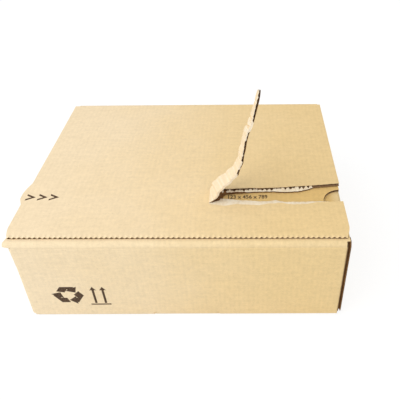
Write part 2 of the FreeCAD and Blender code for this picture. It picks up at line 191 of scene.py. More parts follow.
class Graph:
    """Nodes of one material or of one Geometry Nodes tree."""

    def __init__(self, tree: bpy.types.NodeTree) -> None:
        """Start from an empty tree."""
        self.tree = tree
        tree.nodes.clear()

    def node(self, kind: str, settings: dict | None = None, inputs: dict | None = None) -> bpy.types.Node:
        """Add a node.

        Args:
            kind: Blender's name of the node's type.
            settings: Values of its properties, set first. "stops" holds a ramp's (place, colour) pairs.
            inputs: Values or links of its sockets, by name or number.

        Returns:
            The new node.
        """
        made = self.tree.nodes.new(kind)
        for name, value in (settings or {}).items():
            if name == "stops":
                self._stops(made.color_ramp, value)
            else:
                setattr(made, name, value)
        for key, value in (inputs or {}).items():
            if isinstance(value, Signal):
                self.tree.links.new(value.socket, made.inputs[key])
            else:
                made.inputs[key].default_value = value
        return made

    @staticmethod
    def _stops(ramp: bpy.types.ColorRamp, stops: list) -> None:
        """Set a ramp's stops from (place, colour) pairs."""
        while len(ramp.elements) < len(stops):
            ramp.elements.new(1.0)
        for element, (place, colour) in zip(ramp.elements, stops):
            element.position = place
            element.color = colour

    def out(self, kind: str, settings: dict | None = None, inputs: dict | None = None,
            output: int | str = 0) -> Signal:
        """Add a node and return one of its outputs."""
        return Signal(self, self.node(kind, settings, inputs).outputs[output])

    def mix(self, first: "Signal | tuple", second: "Signal | tuple", factor: "Signal | float") -> Signal:
        """Mix of two colours, the second at factor 1."""
        settings = {"data_type": "RGBA", "clamp_factor": True}
        return self.out("ShaderNodeMix", settings, {0: factor, 6: first, 7: second}, 2)

    def scaled(self, vector: Signal, factor: Signal) -> Signal:
        """Vector or colour times a number that varies."""
        return self.out("ShaderNodeVectorMath", {"operation": "SCALE"}, {0: vector, "Scale": factor})

    def place(self) -> Signal:
        """Place on the object, in metres."""
        return self.out("ShaderNodeTexCoord", None, None, "Object")

    def first(self, vector: Signal) -> Signal:
        """First coordinate of a vector."""
        return self.out("ShaderNodeSeparateXYZ", None, {0: vector})

    def noise(self, place: Signal, texture: Texture) -> Signal:
        """Noise between 0 and 1."""
        if texture.axes is not None:
            place = self.out("ShaderNodeMapping", None, {"Vector": place, "Scale": texture.axes})
        return self.out("ShaderNodeTexNoise", None,
                        {"Vector": place, "Scale": texture.scale, "Detail": texture.detail,
                         "Roughness": texture.roughness})

    def surface(self, colour: Signal, rough: Signal, height: Signal, strength: float,
                shine: float) -> Signal:
        """Shader of a surface with a relief.

        Args:
            colour: Its colour.
            rough: Its roughness.
            height: Height of its relief, in metres.
            strength: How strongly the relief shows.
            shine: Its specular level.

        Returns:
            The shader.
        """
        bump = self.out("ShaderNodeBump", None, {"Strength": strength, "Distance": 1.0, "Height": height})
        return self.out("ShaderNodeBsdfPrincipled", None,
                        {"Base Color": colour, "Roughness": rough, "Normal": bump,
                         "Specular IOR Level": shine})


def rgba(red: float, green: float, blue: float) -> tuple[float, float, float, float]:
    """Opaque colour."""
    return (red, green, blue, 1.0)


@dataclass(frozen=True)
class Finish:
    """Base of the finishes: a material made once and kept by its name."""

    name: str

    def material(self) -> bpy.types.Material:
        """Return the finish's material, made on the first call."""
        found = bpy.data.materials.get(self.name)
        if found is not None:
            return found
        made = bpy.data.materials.new(self.name)
        made.use_nodes = True
        graph = Graph(made.node_tree)
        shader = self.shade(graph)
        graph.node("ShaderNodeOutputMaterial", None, {"Surface": shader})
        return made

    def shade(self, graph: Graph) -> Signal:
        """Add the finish's nodes and return its shader."""
        raise NotImplementedError


@dataclass(frozen=True)
class Kraft(Finish):
    """Brown kraft liner with fibre mottling, flecks, a faint print of the flutes, painted light that makes
    its left end paler and painted shade where the lid hangs over it.

    Attributes:
        pale: Colour at the carton's left end, painted lighter and less saturated as the light from the
            left.
        golden: Colour at its right end, away from that painted light.
        wear_and_shade: Colour of rubbed paper where the liner is stretched over a fold, mixed in where the
            carton's attribute is positive.
        painted_shade: Colour painted as shade where the lid hangs over the flaps and in the strip's pressed
            slits, mixed in where the carton's attribute is negative.
        fleck: Colour of dark fibres.
        stripe: How much the flutes lighten and darken the liner.
        relief: Height of the flutes' print in mm.
        roughness: Roughness of the paper.
        span: Places along X, in metres, between which the painted light fades from pale into golden.
        drift: How far clouds of colour shift that change.
    """

    name: str = "kraft liner"
    pale: tuple = rgba(0.86, 0.70, 0.475)
    golden: tuple = rgba(0.81, 0.60, 0.30)
    wear_and_shade: tuple = rgba(0.90, 0.74, 0.49)
    painted_shade: tuple = rgba(0.76, 0.515, 0.20)
    fleck: tuple = rgba(0.30, 0.17, 0.08)
    stripe: float = 0.011
    relief: float = 0.006
    roughness: float = 0.82
    span: tuple = (-0.17, 0.15)
    drift: float = 0.16
    clouds: Texture = Texture(9.0, 3.0, 0.55)
    mottling: Texture = Texture(240.0, 5.0, 0.75)
    grains: Texture = Texture(1500.0, 4.0, 0.7)
    flecks: Texture = Texture(1300.0, 2.0, 0.5, (1.0, 0.35, 0.35))
    streaking: Texture = Texture(380.0, 3.0, 0.6, (0.1, 1.0, 1.0))

    def shade(self, graph: Graph) -> Signal:
        """Add the nodes of the liner."""
        place = graph.place()
        mottle = graph.noise(place, self.mottling)
        grain = graph.noise(place, self.grains)
        streaks = graph.noise(place, self.streaking)
        # Painted light: paler towards -X and golden towards +X, as if the left end were lit more.
        painted_light_share = graph.first(place) + (graph.noise(place, self.clouds) - 0.5) * self.drift
        base = graph.mix(self.pale, self.golden, painted_light_share.between(*self.span))

        wear_and_shade_map = graph.out("ShaderNodeAttribute", {"attribute_name": WEAR_AND_SHADE}, None, "Fac")
        base = graph.mix(base, self.wear_and_shade, wear_and_shade_map * (0.2 + mottle * 0.4))
        # Painted shade: negative values darken the paper to a deeper golden brown.
        base = graph.mix(base, self.painted_shade, (wear_and_shade_map * -1.0).between(0.0, 1.0))
        base = graph.mix(base, self.fleck, graph.noise(place, self.flecks).between(0.69, 0.78) * 0.35)

        column = graph.first(graph.out("ShaderNodeUVMap", {"uv_map": FLUTE_MAP}))
        wave = (column * (2 * math.pi / (SIZES.pitch * MM))).cosine()
        shade = 0.64 + mottle * 0.32 + grain * 0.28 + streaks * 0.12 + wave * self.stripe
        height = wave * (self.relief * MM) + mottle * (0.05 * MM) + grain * (0.03 * MM)
        rough = self.roughness + (mottle - 0.5) * 0.12
        return graph.surface(graph.scaled(base, shade), rough, height, 0.8, 0.22)


@dataclass(frozen=True)
class Fibrous(Finish):
    """Paper whose fibres show: the fluted medium, torn plies and cut edges.

    Attributes:
        light: Colour of the raised fibres.
        deep: Colour between them.
        relief: Height of the fibres in mm.
    """

    light: tuple = rgba(0.8, 0.7, 0.5)
    deep: tuple = rgba(0.6, 0.5, 0.3)
    relief: float = 0.12
    clumping: Texture = Texture(420.0, 5.0, 0.7, (1.0, 0.5, 0.8))
    patching: Texture = Texture(60.0, 2.0, 0.6)

    def shade(self, graph: Graph) -> Signal:
        """Add the nodes of the fibrous paper."""
        place = graph.place()
        clumps = graph.noise(place, self.clumping)
        fibres = clumps * 0.6 + graph.noise(place, self.patching) * 0.4
        base = graph.mix(self.deep, self.light, fibres.between(0.3, 0.62))
        return graph.surface(base, 0.9 + (clumps - 0.5) * 0.1, clumps * (self.relief * MM), 0.9, 0.12)


@dataclass(frozen=True)
class Ink(Finish):
    """Flexographic ink, thinner where it misses the paper's fibres."""

    name: str = "printing ink"
    full: tuple = rgba(0.06, 0.032, 0.016)
    thin: tuple = rgba(0.16, 0.10, 0.06)
    missing: Texture = Texture(850.0, 4.0, 0.65)

    def shade(self, graph: Graph) -> Signal:
        """Add the nodes of the ink."""
        gaps = graph.noise(graph.place(), self.missing)
        base = graph.mix(self.full, self.thin, gaps.between(0.42, 0.7))
        return graph.surface(base, 0.68 + gaps * 0.15, gaps * (0.03 * MM), 0.5, 0.25)


@dataclass(frozen=True)
class Glue(Finish):
    """Dried adhesive film, milky with rolled streaks."""

    name: str = "dried adhesive"
    film: tuple = rgba(0.82, 0.77, 0.62)
    streak: tuple = rgba(0.62, 0.52, 0.36)
    rolling: Texture = Texture(600.0, 3.0, 0.6, (0.15, 1.0, 1.0))

    def shade(self, graph: Graph) -> Signal:
        """Add the nodes of the film."""
        streaks = graph.noise(graph.place(), self.rolling)
        base = graph.mix(self.film, self.streak, streaks.between(0.45, 0.65))
        return graph.surface(base, 0.35 + streaks * 0.3, streaks * (0.06 * MM), 0.6, 0.5)


LINER = Kraft()
# Paler copy of the liner for the strip: partly its creased, abraded paper, partly painted light where its
# face turns to the key lamp.
CREASED_AND_LIT_STRIP_LINER = Kraft(name="creased strip liner with painted light", pale=rgba(0.88, 0.73, 0.52), golden=rgba(0.86, 0.70, 0.48),
                    wear_and_shade=rgba(0.96, 0.90, 0.80))
# Medium darker than its paper: its own brown plus painted shade of the flute hollows.
SHADE_DARKENED_MEDIUM = Fibrous(name="fluted medium", light=rgba(0.24, 0.115, 0.04), deep=rgba(0.12, 0.055, 0.02),
                 relief=0.06)
INSIDE = Fibrous(name="inner liner", light=rgba(0.34, 0.21, 0.11), deep=rgba(0.24, 0.14, 0.07),
                 relief=0.03)
# Cut edges in near-black brown: painted shade of the open flute hollows and of the gaps under edges, darker
# than cut kraft.
CUT = Fibrous(name="cut edge", light=rgba(0.19, 0.09, 0.036), deep=rgba(0.085, 0.036, 0.014), relief=0.05)
PALE_CUT = Fibrous(name="pale cut edge", light=rgba(0.74, 0.56, 0.35), deep=rgba(0.56, 0.40, 0.22),
                   relief=0.05)
TORN = Fibrous(name="torn paper", light=rgba(0.94, 0.83, 0.64), deep=rgba(0.80, 0.64, 0.42))
INK = Ink()
GLUE = Glue()


class Edge(Enum):
    """How the edge of a layer of board looks, as the number of its material."""

    # Edge in the dark cut finish, which carries painted shade.
    CUT = 1
    TORN = 2
    PALE = 3


def quads(first: Array, second: Array, third: Array, fourth: Array) -> Array:
    """Stack four grids of vertex numbers into rows of four."""
    return np.stack([first, second, third, fourth], axis=-1).reshape(-1, 4)


def placed(name: str, data: bpy.types.ID) -> bpy.types.Object:
    """Object of some data, linked to the scene."""
    made = bpy.data.objects.new(name, data)
    bpy.context.scene.collection.objects.link(made)
    return made


def mesh_of(name: str, points: list[Array], faces: list[Array]) -> bpy.types.Mesh:
    """Mesh from blocks of points, in mm, and of faces."""
    mesh = bpy.data.meshes.new(name)
    mesh.from_pydata((np.concatenate(points) * MM).tolist(), [], np.concatenate(faces).tolist())
    return mesh


def smooth(mesh: bpy.types.Mesh) -> None:
    """Shade a mesh smooth except at its sharp edges."""
    mesh.shade_smooth()
    mesh.set_sharp_from_angle(angle=SHARP_ANGLE)


class Draft:
    """Vertices, faces and attributes that are gathered before they become one object."""

    def __init__(self) -> None:
        """Start with nothing."""
        self.points: list[Array] = []
        self.faces: list[Array] = []
        self.sides: list[Array] = []
        self.maps: list[Array] = []
        self.wear_and_shade: list[Array] = []
        self.count = 0

    def slab(self, near: Array, far: Array, flat: Array, wear_and_shade: Array | None = None,
             edge: "Edge | None" = None) -> None:
        """Add a closed layer between two grids of points.

        Args:
            near: Points of the outer face, (columns, rows, 3), in mm.
            far: Points of the inner face.
            flat: Place of each point on the unfolded sheet, (columns, rows, 2), in mm.
            wear_and_shade: How rubbed the outer face is at each point, 0 to 1; negative values paint shade.
            edge: How the layer's edges look.
        """
        n, m = near.shape[:2]
        a = np.arange(n * m).reshape(n, m) + self.count
        b = a + n * m
        faces = np.concatenate([
            quads(a[:-1, :-1], a[1:, :-1], a[1:, 1:], a[:-1, 1:]),
            quads(b[:-1, :-1], b[:-1, 1:], b[1:, 1:], b[1:, :-1]),
            quads(a[1:, 0], a[:-1, 0], b[:-1, 0], b[1:, 0]),
            quads(a[:-1, -1], a[1:, -1], b[1:, -1], b[:-1, -1]),
            quads(a[0, :-1], a[0, 1:], b[0, 1:], b[0, :-1]),
            quads(a[-1, 1:], a[-1, :-1], b[-1, :-1], b[-1, 1:]),
        ])
        points = np.concatenate([near.reshape(-1, 3), far.reshape(-1, 3)])
        corners = points[faces - self.count] - points.mean(axis=0)
        volume = np.einsum("ij,ij->i", corners[:, 0], np.cross(corners[:, 1], corners[:, 2])).sum()
        volume += np.einsum("ij,ij->i", corners[:, 0], np.cross(corners[:, 2], corners[:, 3])).sum()
        if volume < 0:
            faces = faces[:, ::-1]
        if wear_and_shade is None:
            wear_and_shade = np.zeros((n, m))
        sides = np.zeros(len(faces), dtype=np.int32)
        sides[2 * (n - 1) * (m - 1):] = 0 if edge is None else edge.value
        self.points.append(points)
        self.faces.append(faces)
        self.sides.append(sides)
        self.maps.append(np.tile(flat.reshape(-1, 2), (2, 1)))
        self.wear_and_shade.append(np.tile(wear_and_shade.reshape(-1), 2))
        self.count += 2 * n * m

    def build(self, name: str, finish: Finish) -> bpy.types.Object:
        """Make the object.

        Args:
            name: Name of the piece.
            finish: Finish of all its faces.

        Returns:
            The object, linked to the scene and not yet declared.
        """
        mesh = mesh_of(name, self.points, self.faces)
        flat = np.concatenate(self.maps) * MM
        corners = np.empty(len(mesh.loops), dtype=np.int32)
        mesh.loops.foreach_get("vertex_index", corners)
        layer = mesh.uv_layers.new(name=FLUTE_MAP)
        layer.data.foreach_set("uv", flat[corners].ravel())
        attribute = mesh.attributes.new(WEAR_AND_SHADE, "FLOAT", "POINT")
        attribute.data.foreach_set("value", np.concatenate(self.wear_and_shade))
        smooth(mesh)
        for each in (finish, CUT, TORN, PALE_CUT):
            mesh.materials.append(each.material())
        mesh.polygons.foreach_set("material_index", np.concatenate(self.sides))
        return placed(name, mesh)


def declare(piece: bpy.types.Object) -> None:
    """Let a piece of the carton ride on its body and stand for the plain sheet."""
    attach(piece, BODY)
    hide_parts(CARTON_NODE)
    log.info("%s: %d faces", piece.name, len(piece.data.polygons))


@dataclass(frozen=True)
class Leg:
    """Straight or round piece of a profile.

    Attributes:
        start: Distance along the profile at which it begins.
        length: Its length.
        point: Where it begins.
        heading: Its direction there, in radians.
        turn: How far it turns, in radians, negative to the right.
    """

    start: float
    length: float
    point: tuple[float, float]
    heading: float
    turn: float

    def at(self, distance: Array) -> tuple[Array, Array]:
        """Points and outward directions at distances along the profile."""
        along = distance - self.start
        heading = self.heading + self.turn * along / self.length
        outward = np.stack([-np.sin(heading), np.cos(heading)], axis=-1)
        begin = np.array(self.point)
        if self.turn == 0:
            forward = np.array([math.cos(self.heading), math.sin(self.heading)])
            return begin + along[..., None] * forward, outward
        radius = -self.length / self.turn
        first = np.array([-math.sin(self.heading), math.cos(self.heading)])
        return begin - first * radius + outward * radius, outward


class Profile:
    """Line of the board's outer face across its folds, in a plane of two coordinates."""

    ARC_PARTS = 8

    def __init__(self, corners: list[tuple[float, float]], radius: float) -> None:
        """Round the corners of a line.

        Args:
            corners: Points of the line before its folds are rounded, in mm.
            radius: Outside radius of every fold, in mm.
        """
        self.legs: list[Leg] = []
        start = 0.0
        here = Vector(corners[0])
        for index in range(1, len(corners)):
            corner = Vector(corners[index])
            step = corner - Vector(corners[index - 1])
            heading = math.atan2(step.y, step.x)
            turn = 0.0
            if index + 1 < len(corners):
                following = Vector(corners[index + 1]) - corner
                turn = math.atan2(following.y, following.x) - heading
                turn = (turn + math.pi) % (2 * math.pi) - math.pi
            reach = radius * math.tan(abs(turn) / 2)
            stop = corner - step.normalized() * reach
            length = (stop - here).length
            self.legs.append(Leg(start, length, tuple(here), heading, 0.0))
            start += length
            if turn:
                self.legs.append(Leg(start, radius * abs(turn), tuple(stop), heading, turn))
                start += radius * abs(turn)
                here = corner + following.normalized() * reach
        self.length = start

    def at(self, distance: Array) -> tuple[Array, Array]:
        """Points and outward directions at distances along the profile."""
        points = np.zeros(distance.shape + (2,))
        outward = np.zeros_like(points)
        for index, leg in enumerate(self.legs):
            inside = distance >= leg.start if index else np.ones_like(distance, dtype=bool)
            there, out = leg.at(distance)
            points = np.where(inside[..., None], there, points)
            outward = np.where(inside[..., None], out, outward)
        return points, outward

    def rows(self, start: float, end: float, step: float, extra: Array | None = None) -> Array:
        """Distances between start and end, close together in the folds.

        Args:
            start: First distance.
            end: Last distance.
            step: Largest step on a straight leg.
            extra: More distances, for creases.

        Returns:
            The distances in order, at least a tenth of a millimetre apart.
        """
        places = [start, end]
        for leg in self.legs:
            low = max(start, leg.start)
            high = min(end, leg.start + leg.length)
            if high <= low:
                continue
            parts = self.ARC_PARTS if leg.turn else max(1, math.ceil((high - low) / step))
            places += list(np.linspace(low, high, parts + 1))
        if extra is not None:
            places += [value for value in extra if start < value < end]
        places = sorted(places)
        kept = [places[0]]
        for value in places[1:-1]:
            if value - kept[-1] > 0.1 and places[-1] - value > 0.1:
                kept.append(value)
        return np.array(kept + [places[-1]])


def lumps(u: Array, v: Array, size: float, seed: float) -> Array:
    """Smooth unevenness between about -1 and 1 over two coordinates."""
    flat = [noise.noise(Vector((a / size, b / size, seed))) for a, b in zip(u.ravel(), v.ravel())]
    return np.array(flat).reshape(u.shape)


def ragged(u: Array, size: float, seed: float) -> Array:
    """Torn outline over one coordinate: broad and fine steps together."""
    broad = lumps(u, np.zeros_like(u), size, seed)
    fine = lumps(u, np.zeros_like(u), size / 3.7, seed + 5.0)
    return broad + 0.5 * fine


@dataclass(frozen=True)
class Uneven:
    """Unevenness of one thing.

    Attributes:
        size: Size of its lumps in mm.
        seed: Seed of its noise.
    """

    size: float
    seed: float

    def over(self, u: Array, v: Array | None = None) -> Array:
        """Smooth lumps between about -1 and 1 over one or two coordinates."""
        return lumps(u, 0 * u if v is None else v, self.size, self.seed)

    def torn(self, u: Array) -> Array:
        """Ragged outline over one coordinate."""
        return ragged(u, self.size, self.seed)


def even(low: float, high: float, step: float) -> Array:
    """Even columns from low to high, at most a step apart."""
    return np.linspace(low, high, max(2, math.ceil((high - low) / step) + 1))


def ramp(value: "Array | float", start: float, run: float) -> Array:
    """Straight rise from 0 to 1 that begins at start and takes run."""
    return np.clip((value - start) / run, 0, 1)


def flute_wave(x: Array, pitch: float) -> Array:
    """Wave of the flutes across them, 1 at a crest."""
    return np.cos(x * 2 * math.pi / pitch)


def grid(*coordinates: Array) -> Array:
    """Points from their coordinates."""
    return np.stack(coordinates, axis=-1)


def spread(columns: Array, count: int) -> Array:
    """The same columns in each of a number of rows."""
    return np.repeat(columns[:, None], count, axis=1)


def band(place: Array, centre: float, half: float) -> Array:
    """Hump of height 1 with smooth sides around a centre."""
    return np.clip(1 - ((place - centre) / half) ** 2, 0, 1) ** 2


def stretched(rows: Array, low: Array, high: Array, reach: float) -> Array:
    """Rows of each column, moved so that they end on its own edges.

    Args:
        rows: Rows of a column whose edges are not moved.
        low: First row of every column.
        high: Last row of every column.
        reach: How far from an edge its shift has died out, in mm.

    Returns:
        Grid of columns by rows.
    """
    near = np.clip(1 - (rows - rows[0]) / reach, 0, 1)
    far = np.clip(1 - (rows[-1] - rows) / reach, 0, 1)
    return rows + (low - rows[0])[:, None] * near + (high - rows[-1])[:, None] * far


class Growth:
    """Base of the Geometry Nodes trees that grow a piece out of a plain sheet."""

    def __init__(self, name: str, values: dict[str, float | int], finish: Finish) -> None:
        """Build the tree.

        Args:
            name: Name of the tree.
            values: Its inputs by name.
            finish: Finish of what it grows.
        """
        self.values = values
        self.finish = finish
        self.tree = bpy.data.node_groups.new(name, "GeometryNodeTree")
        graph = Graph(self.tree)
        sockets = self.tree.interface
        sockets.new_socket("Geometry", in_out="INPUT", socket_type="NodeSocketGeometry")
        for key, value in values.items():
            kind = "NodeSocketInt" if isinstance(value, int) else "NodeSocketFloat"
            sockets.new_socket(key, in_out="INPUT", socket_type=kind)
        sockets.new_socket("Geometry", in_out="OUTPUT", socket_type="NodeSocketGeometry")
        start = graph.node("NodeGroupInput")
        inputs = {key: Signal(graph, start.outputs[key]) for key in ("Geometry", *values)}
        real = graph.out("GeometryNodeRealizeInstances", None, {"Geometry": self.grow(graph, inputs)})
        dressed = graph.out("GeometryNodeSetMaterial", None,
                            {"Geometry": real, "Material": finish.material()})
        graph.node("NodeGroupOutput", None, {"Geometry": dressed})

    def grow(self, graph: Graph, inputs: dict[str, Signal]) -> Signal:
        """Add the nodes between the tree's inputs and the grown geometry."""
        raise NotImplementedError

    def grown(self, name: str, sheet: bpy.types.Mesh) -> bpy.types.Object:
        """Grow the piece and keep it as a plain mesh."""
        source = placed(name + "_sheet", sheet)
        modifier = source.modifiers.new("nodes", "NODES")
        modifier.node_group = self.tree
        for item in self.tree.interface.items_tree:
            if item.item_type == "SOCKET" and item.in_out == "INPUT" and item.name in self.values:
                modifier[item.identifier] = self.values[item.name]
        evaluated = source.evaluated_get(bpy.context.evaluated_depsgraph_get())
        mesh = bpy.data.meshes.new_from_object(evaluated)
        mesh.name = name
        bpy.data.objects.remove(source)
        if not mesh.materials:
            mesh.materials.append(self.finish.material())
        made = placed(name, mesh)
        smooth(mesh)
        return made


class FlutingTree(Growth):
    """Geometry Nodes that turn a sheet between two liners into the fluted medium."""

    ACROSS = "across"
    INWARD = "inward"
    OPEN = "open"

    def __init__(self, sizes: CartonSizes, finish: Finish) -> None:
        """Build the tree, with the board's sizes as its inputs."""
        room = sizes.board - 2 * sizes.liner - sizes.web
        super().__init__("fluting", {"Flute Pitch": sizes.pitch * MM, "Wave Height": room * MM,
                                     "Paper": sizes.web * MM}, finish)

    def grow(self, graph: Graph, inputs: dict[str, Signal]) -> Signal:
        """Wave the sheet along its flutes and give it thickness."""
        paper = inputs["Paper"]
        across = self._attribute(graph, self.ACROSS, "FLOAT")
        opened = self._attribute(graph, self.OPEN, "FLOAT")
        inward = self._attribute(graph, self.INWARD, "FLOAT_VECTOR")
        angle = across / inputs["Flute Pitch"] * (2 * math.pi)
        wave = angle.cosine() * inputs["Wave Height"] * 0.5 * opened
        offset = graph.scaled(inward, wave - paper * 0.5)
        waved = graph.out("GeometryNodeSetPosition", None,
                          {"Geometry": inputs["Geometry"], "Offset": offset})
        back = graph.out("GeometryNodeFlipFaces", None, {"Mesh": waved})
        front = graph.out("GeometryNodeExtrudeMesh", {"mode": "FACES"},
                          {"Mesh": waved, "Offset": graph.scaled(inward, paper), "Offset Scale": 1.0,
                           "Individual": False})
        joined = graph.node("GeometryNodeJoinGeometry")
        for shell in (back, front):
            graph.tree.links.new(shell.socket, joined.inputs[0])
        return graph.out("GeometryNodeMergeByDistance", None,
                         {"Geometry": Signal(graph, joined.outputs[0]), "Distance": 1e-7})

    @staticmethod
    def _attribute(graph: Graph, name: str, kind: str) -> Signal:
        """Named attribute of the sheet."""
        return graph.out("GeometryNodeInputNamedAttribute", {"data_type": kind}, {"Name": name},
                         "Attribute")

    def build(self, name: str, grids: list[tuple[Array, Array, Array, Array]]) -> bpy.types.Object:
        """Make the medium of one piece.

        Args:
            name: Name of the piece.
            grids: For each stretch, its middle points and inward directions, (columns, rows, 3),
                its place across the flutes and how open its flutes are, (columns, rows).

        Returns:
            The medium as a plain mesh object.
        """
        points, faces, count = [], [], 0
        for middle, *_ in grids:
            n, m = middle.shape[:2]
            a = np.arange(n * m).reshape(n, m) + count
            faces.append(quads(a[:-1, :-1], a[1:, :-1], a[1:, 1:], a[:-1, 1:]))
            points.append(middle.reshape(-1, 3))
            count += n * m
        mesh = mesh_of(name, points, faces)
        inward, across, opened = (np.concatenate([each[k].ravel() for each in grids]) for k in (1, 2, 3))
        for key, kind, field_name, values in (
            (self.INWARD, "FLOAT_VECTOR", "vector", inward),
            (self.ACROSS, "FLOAT", "value", across * MM),
            (self.OPEN, "FLOAT", "value", opened),
        ):
            mesh.attributes.new(key, kind, "POINT").data.foreach_set(field_name, values)
        return self.grown(name, mesh)


@dataclass
class Stretch:
    """Stretch of board over columns across its flutes and rows along them.

    Attributes:
        outer: Points of the outer face, (columns, rows, 3), in mm.
        outward: Directions away from the board at those points.
        flat: Place of each point on the unfolded sheet, (columns, rows, 2), in mm.
        wear_and_shade: How rubbed the outer face is, 0 to 1; negative values paint shade.
        pressed: How far the outer liner is pressed into the board, in mm.
    """

    outer: Array
    outward: Array
    flat: Array
    wear_and_shade: Array
    pressed: Array

    def at(self, depth: "Array | float") -> Array:
        """Points at a depth below the outer face."""
        depth = np.broadcast_to(depth, self.outer.shape[:2])
        return self.outer - self.outward * depth[..., None]


class BoardPiece:
    """Outer liner, fluted medium and inner liner of one sub-assembly."""

    def __init__(self, name: str, sizes: CartonSizes, fluting: FlutingTree, finish: Finish = LINER) -> None:
        """Start with no board.

        Args:
            name: Start of the names of the pieces.
            sizes: Board sizes.
            fluting: Tree that makes the medium.
            finish: Finish of the outer face.
        """
        self.name = name
        self.sizes = sizes
        self.fluting = fluting
        self.finish = finish
        self.outer = Draft()
        self.inner = Draft()
        self.waves: list[tuple[Array, Array, Array, Array]] = []

    def add_outer(self, stretch: Stretch, edge: Edge = Edge.CUT) -> None:
        """Add a stretch of the outer liner."""
        near = stretch.at(stretch.pressed)
        far = stretch.at(stretch.pressed + self.sizes.liner)
        self.outer.slab(near, far, stretch.flat, stretch.wear_and_shade, edge)

    def add_medium(self, stretch: Stretch) -> None:
        """Add a stretch of the medium."""
        room = self.sizes.board - 2 * self.sizes.liner - self.sizes.web
        opened = np.clip(1 - stretch.pressed / room, 0.15, 1)
        middle = stretch.at(self.sizes.board / 2 + stretch.pressed / 2)
        self.waves.append((middle, -stretch.outward, stretch.flat[..., 0], opened))

    def add_inner(self, stretch: Stretch, edge: Edge = Edge.CUT) -> None:
        """Add a stretch of the inner liner."""
        near = stretch.at(self.sizes.board - self.sizes.liner)
        self.inner.slab(near, stretch.at(self.sizes.board), stretch.flat, None, edge)

    def add_core(self, stretch: Stretch) -> None:
        """Add a solid core between the liners, where no flute ends."""
        near = stretch.at(self.sizes.liner)
        self.inner.slab(near, stretch.at(self.sizes.board - self.sizes.liner), stretch.flat)

    def add_board(self, stretch: Stretch, edge: Edge = Edge.CUT) -> None:
        """Add board whose flutes end in the open."""
        self.add_outer(stretch, edge)
        self.add_medium(stretch)
        self.add_inner(stretch, edge)

    def add_closed(self, stretch: Stretch) -> None:
        """Add board whose flutes are hidden."""
        self.add_outer(stretch)
        self.add_core(stretch)
        self.add_inner(stretch)

    def build(self) -> None:
        made = [self.outer.build(self.name + "_outer_liner", self.finish)]
        if self.inner.count:
            made.append(self.inner.build(self.name + "_inner_liner", INSIDE))
        if self.waves:
            made.append(self.fluting.build(self.name + "_medium", self.waves))
        for piece in made:
            declare(piece)


class Side(Enum):
    """Side of the carton that a panel stands on, as the signs of its outward X and Y."""

    FRONT = (0, -1)
    REAR = (0, 1)
    LEFT = (-1, 0)
    RIGHT = (1, 0)


@dataclass
class Panel:
    """Wall with the flaps on its head and foot, as one bent strip of board.

    Attributes:
        side: Side of the carton.
        profile: Line of its outer face in a plane of distance outwards and height.
        half: Half of its width, at which its dents have died out, in mm.
        shift: Moves points to where the carton bulges.
        dents: How far the outer face lies inside that line, in mm.
        wear_and_shade_map: How rubbed the outer face is, 0 to 1; negative values paint shade.
    """

    side: Side
    profile: Profile
    half: float
    shift: Callable[[Array], Array]
    dents: Callable[[Array, Array, Array], Array]
    wear_and_shade_map: Callable[[Array, Array, Array], Array]

    def surface(self, across: Array, along: Array) -> tuple[Array, Array]:
        """Points and outward directions of the outer face."""
        line, out = self.profile.at(along)
        x_sign, y_sign = self.side.value
        ends = np.clip((self.half - np.abs(across)) / 6, 0, 1)
        dented = line - out * (ends * self.dents(across, along, line[..., 1]))[..., None]
        if y_sign:
            points = grid(across, y_sign * dented[..., 0], dented[..., 1])
            outward = grid(0 * across, y_sign * out[..., 0], out[..., 1])
        else:
            points = grid(x_sign * dented[..., 0], across, dented[..., 1])
            outward = grid(x_sign * out[..., 0], 0 * across, out[..., 1])
        return self.shift(points), outward

    def stretch(self, columns: Array, rows: Array, low: Array | None = None, high: Array | None = None,
                reach: float = 20.0) -> Stretch:
        """Stretch of the panel.

        Args:
            columns: Places across the flutes.
            rows: Distances along the profile.
            low: First row of each column, where its edge is moved.
            high: Last row of each column.
            reach: How far from a moved edge its rows follow it.

        Returns:
            The stretch.
        """
        low = np.full(len(columns), rows[0]) if low is None else low
        high = np.full(len(columns), rows[-1]) if high is None else high
        along = stretched(rows, low, high, reach)
        across = spread(columns, len(rows))
        points, outward = self.surface(across, along)
        flat = grid(across, along)
        wear_and_shade = self.wear_and_shade_map(across, along, self.profile.at(along)[0][..., 1])
        return Stretch(points, outward, flat, wear_and_shade, np.zeros_like(across))


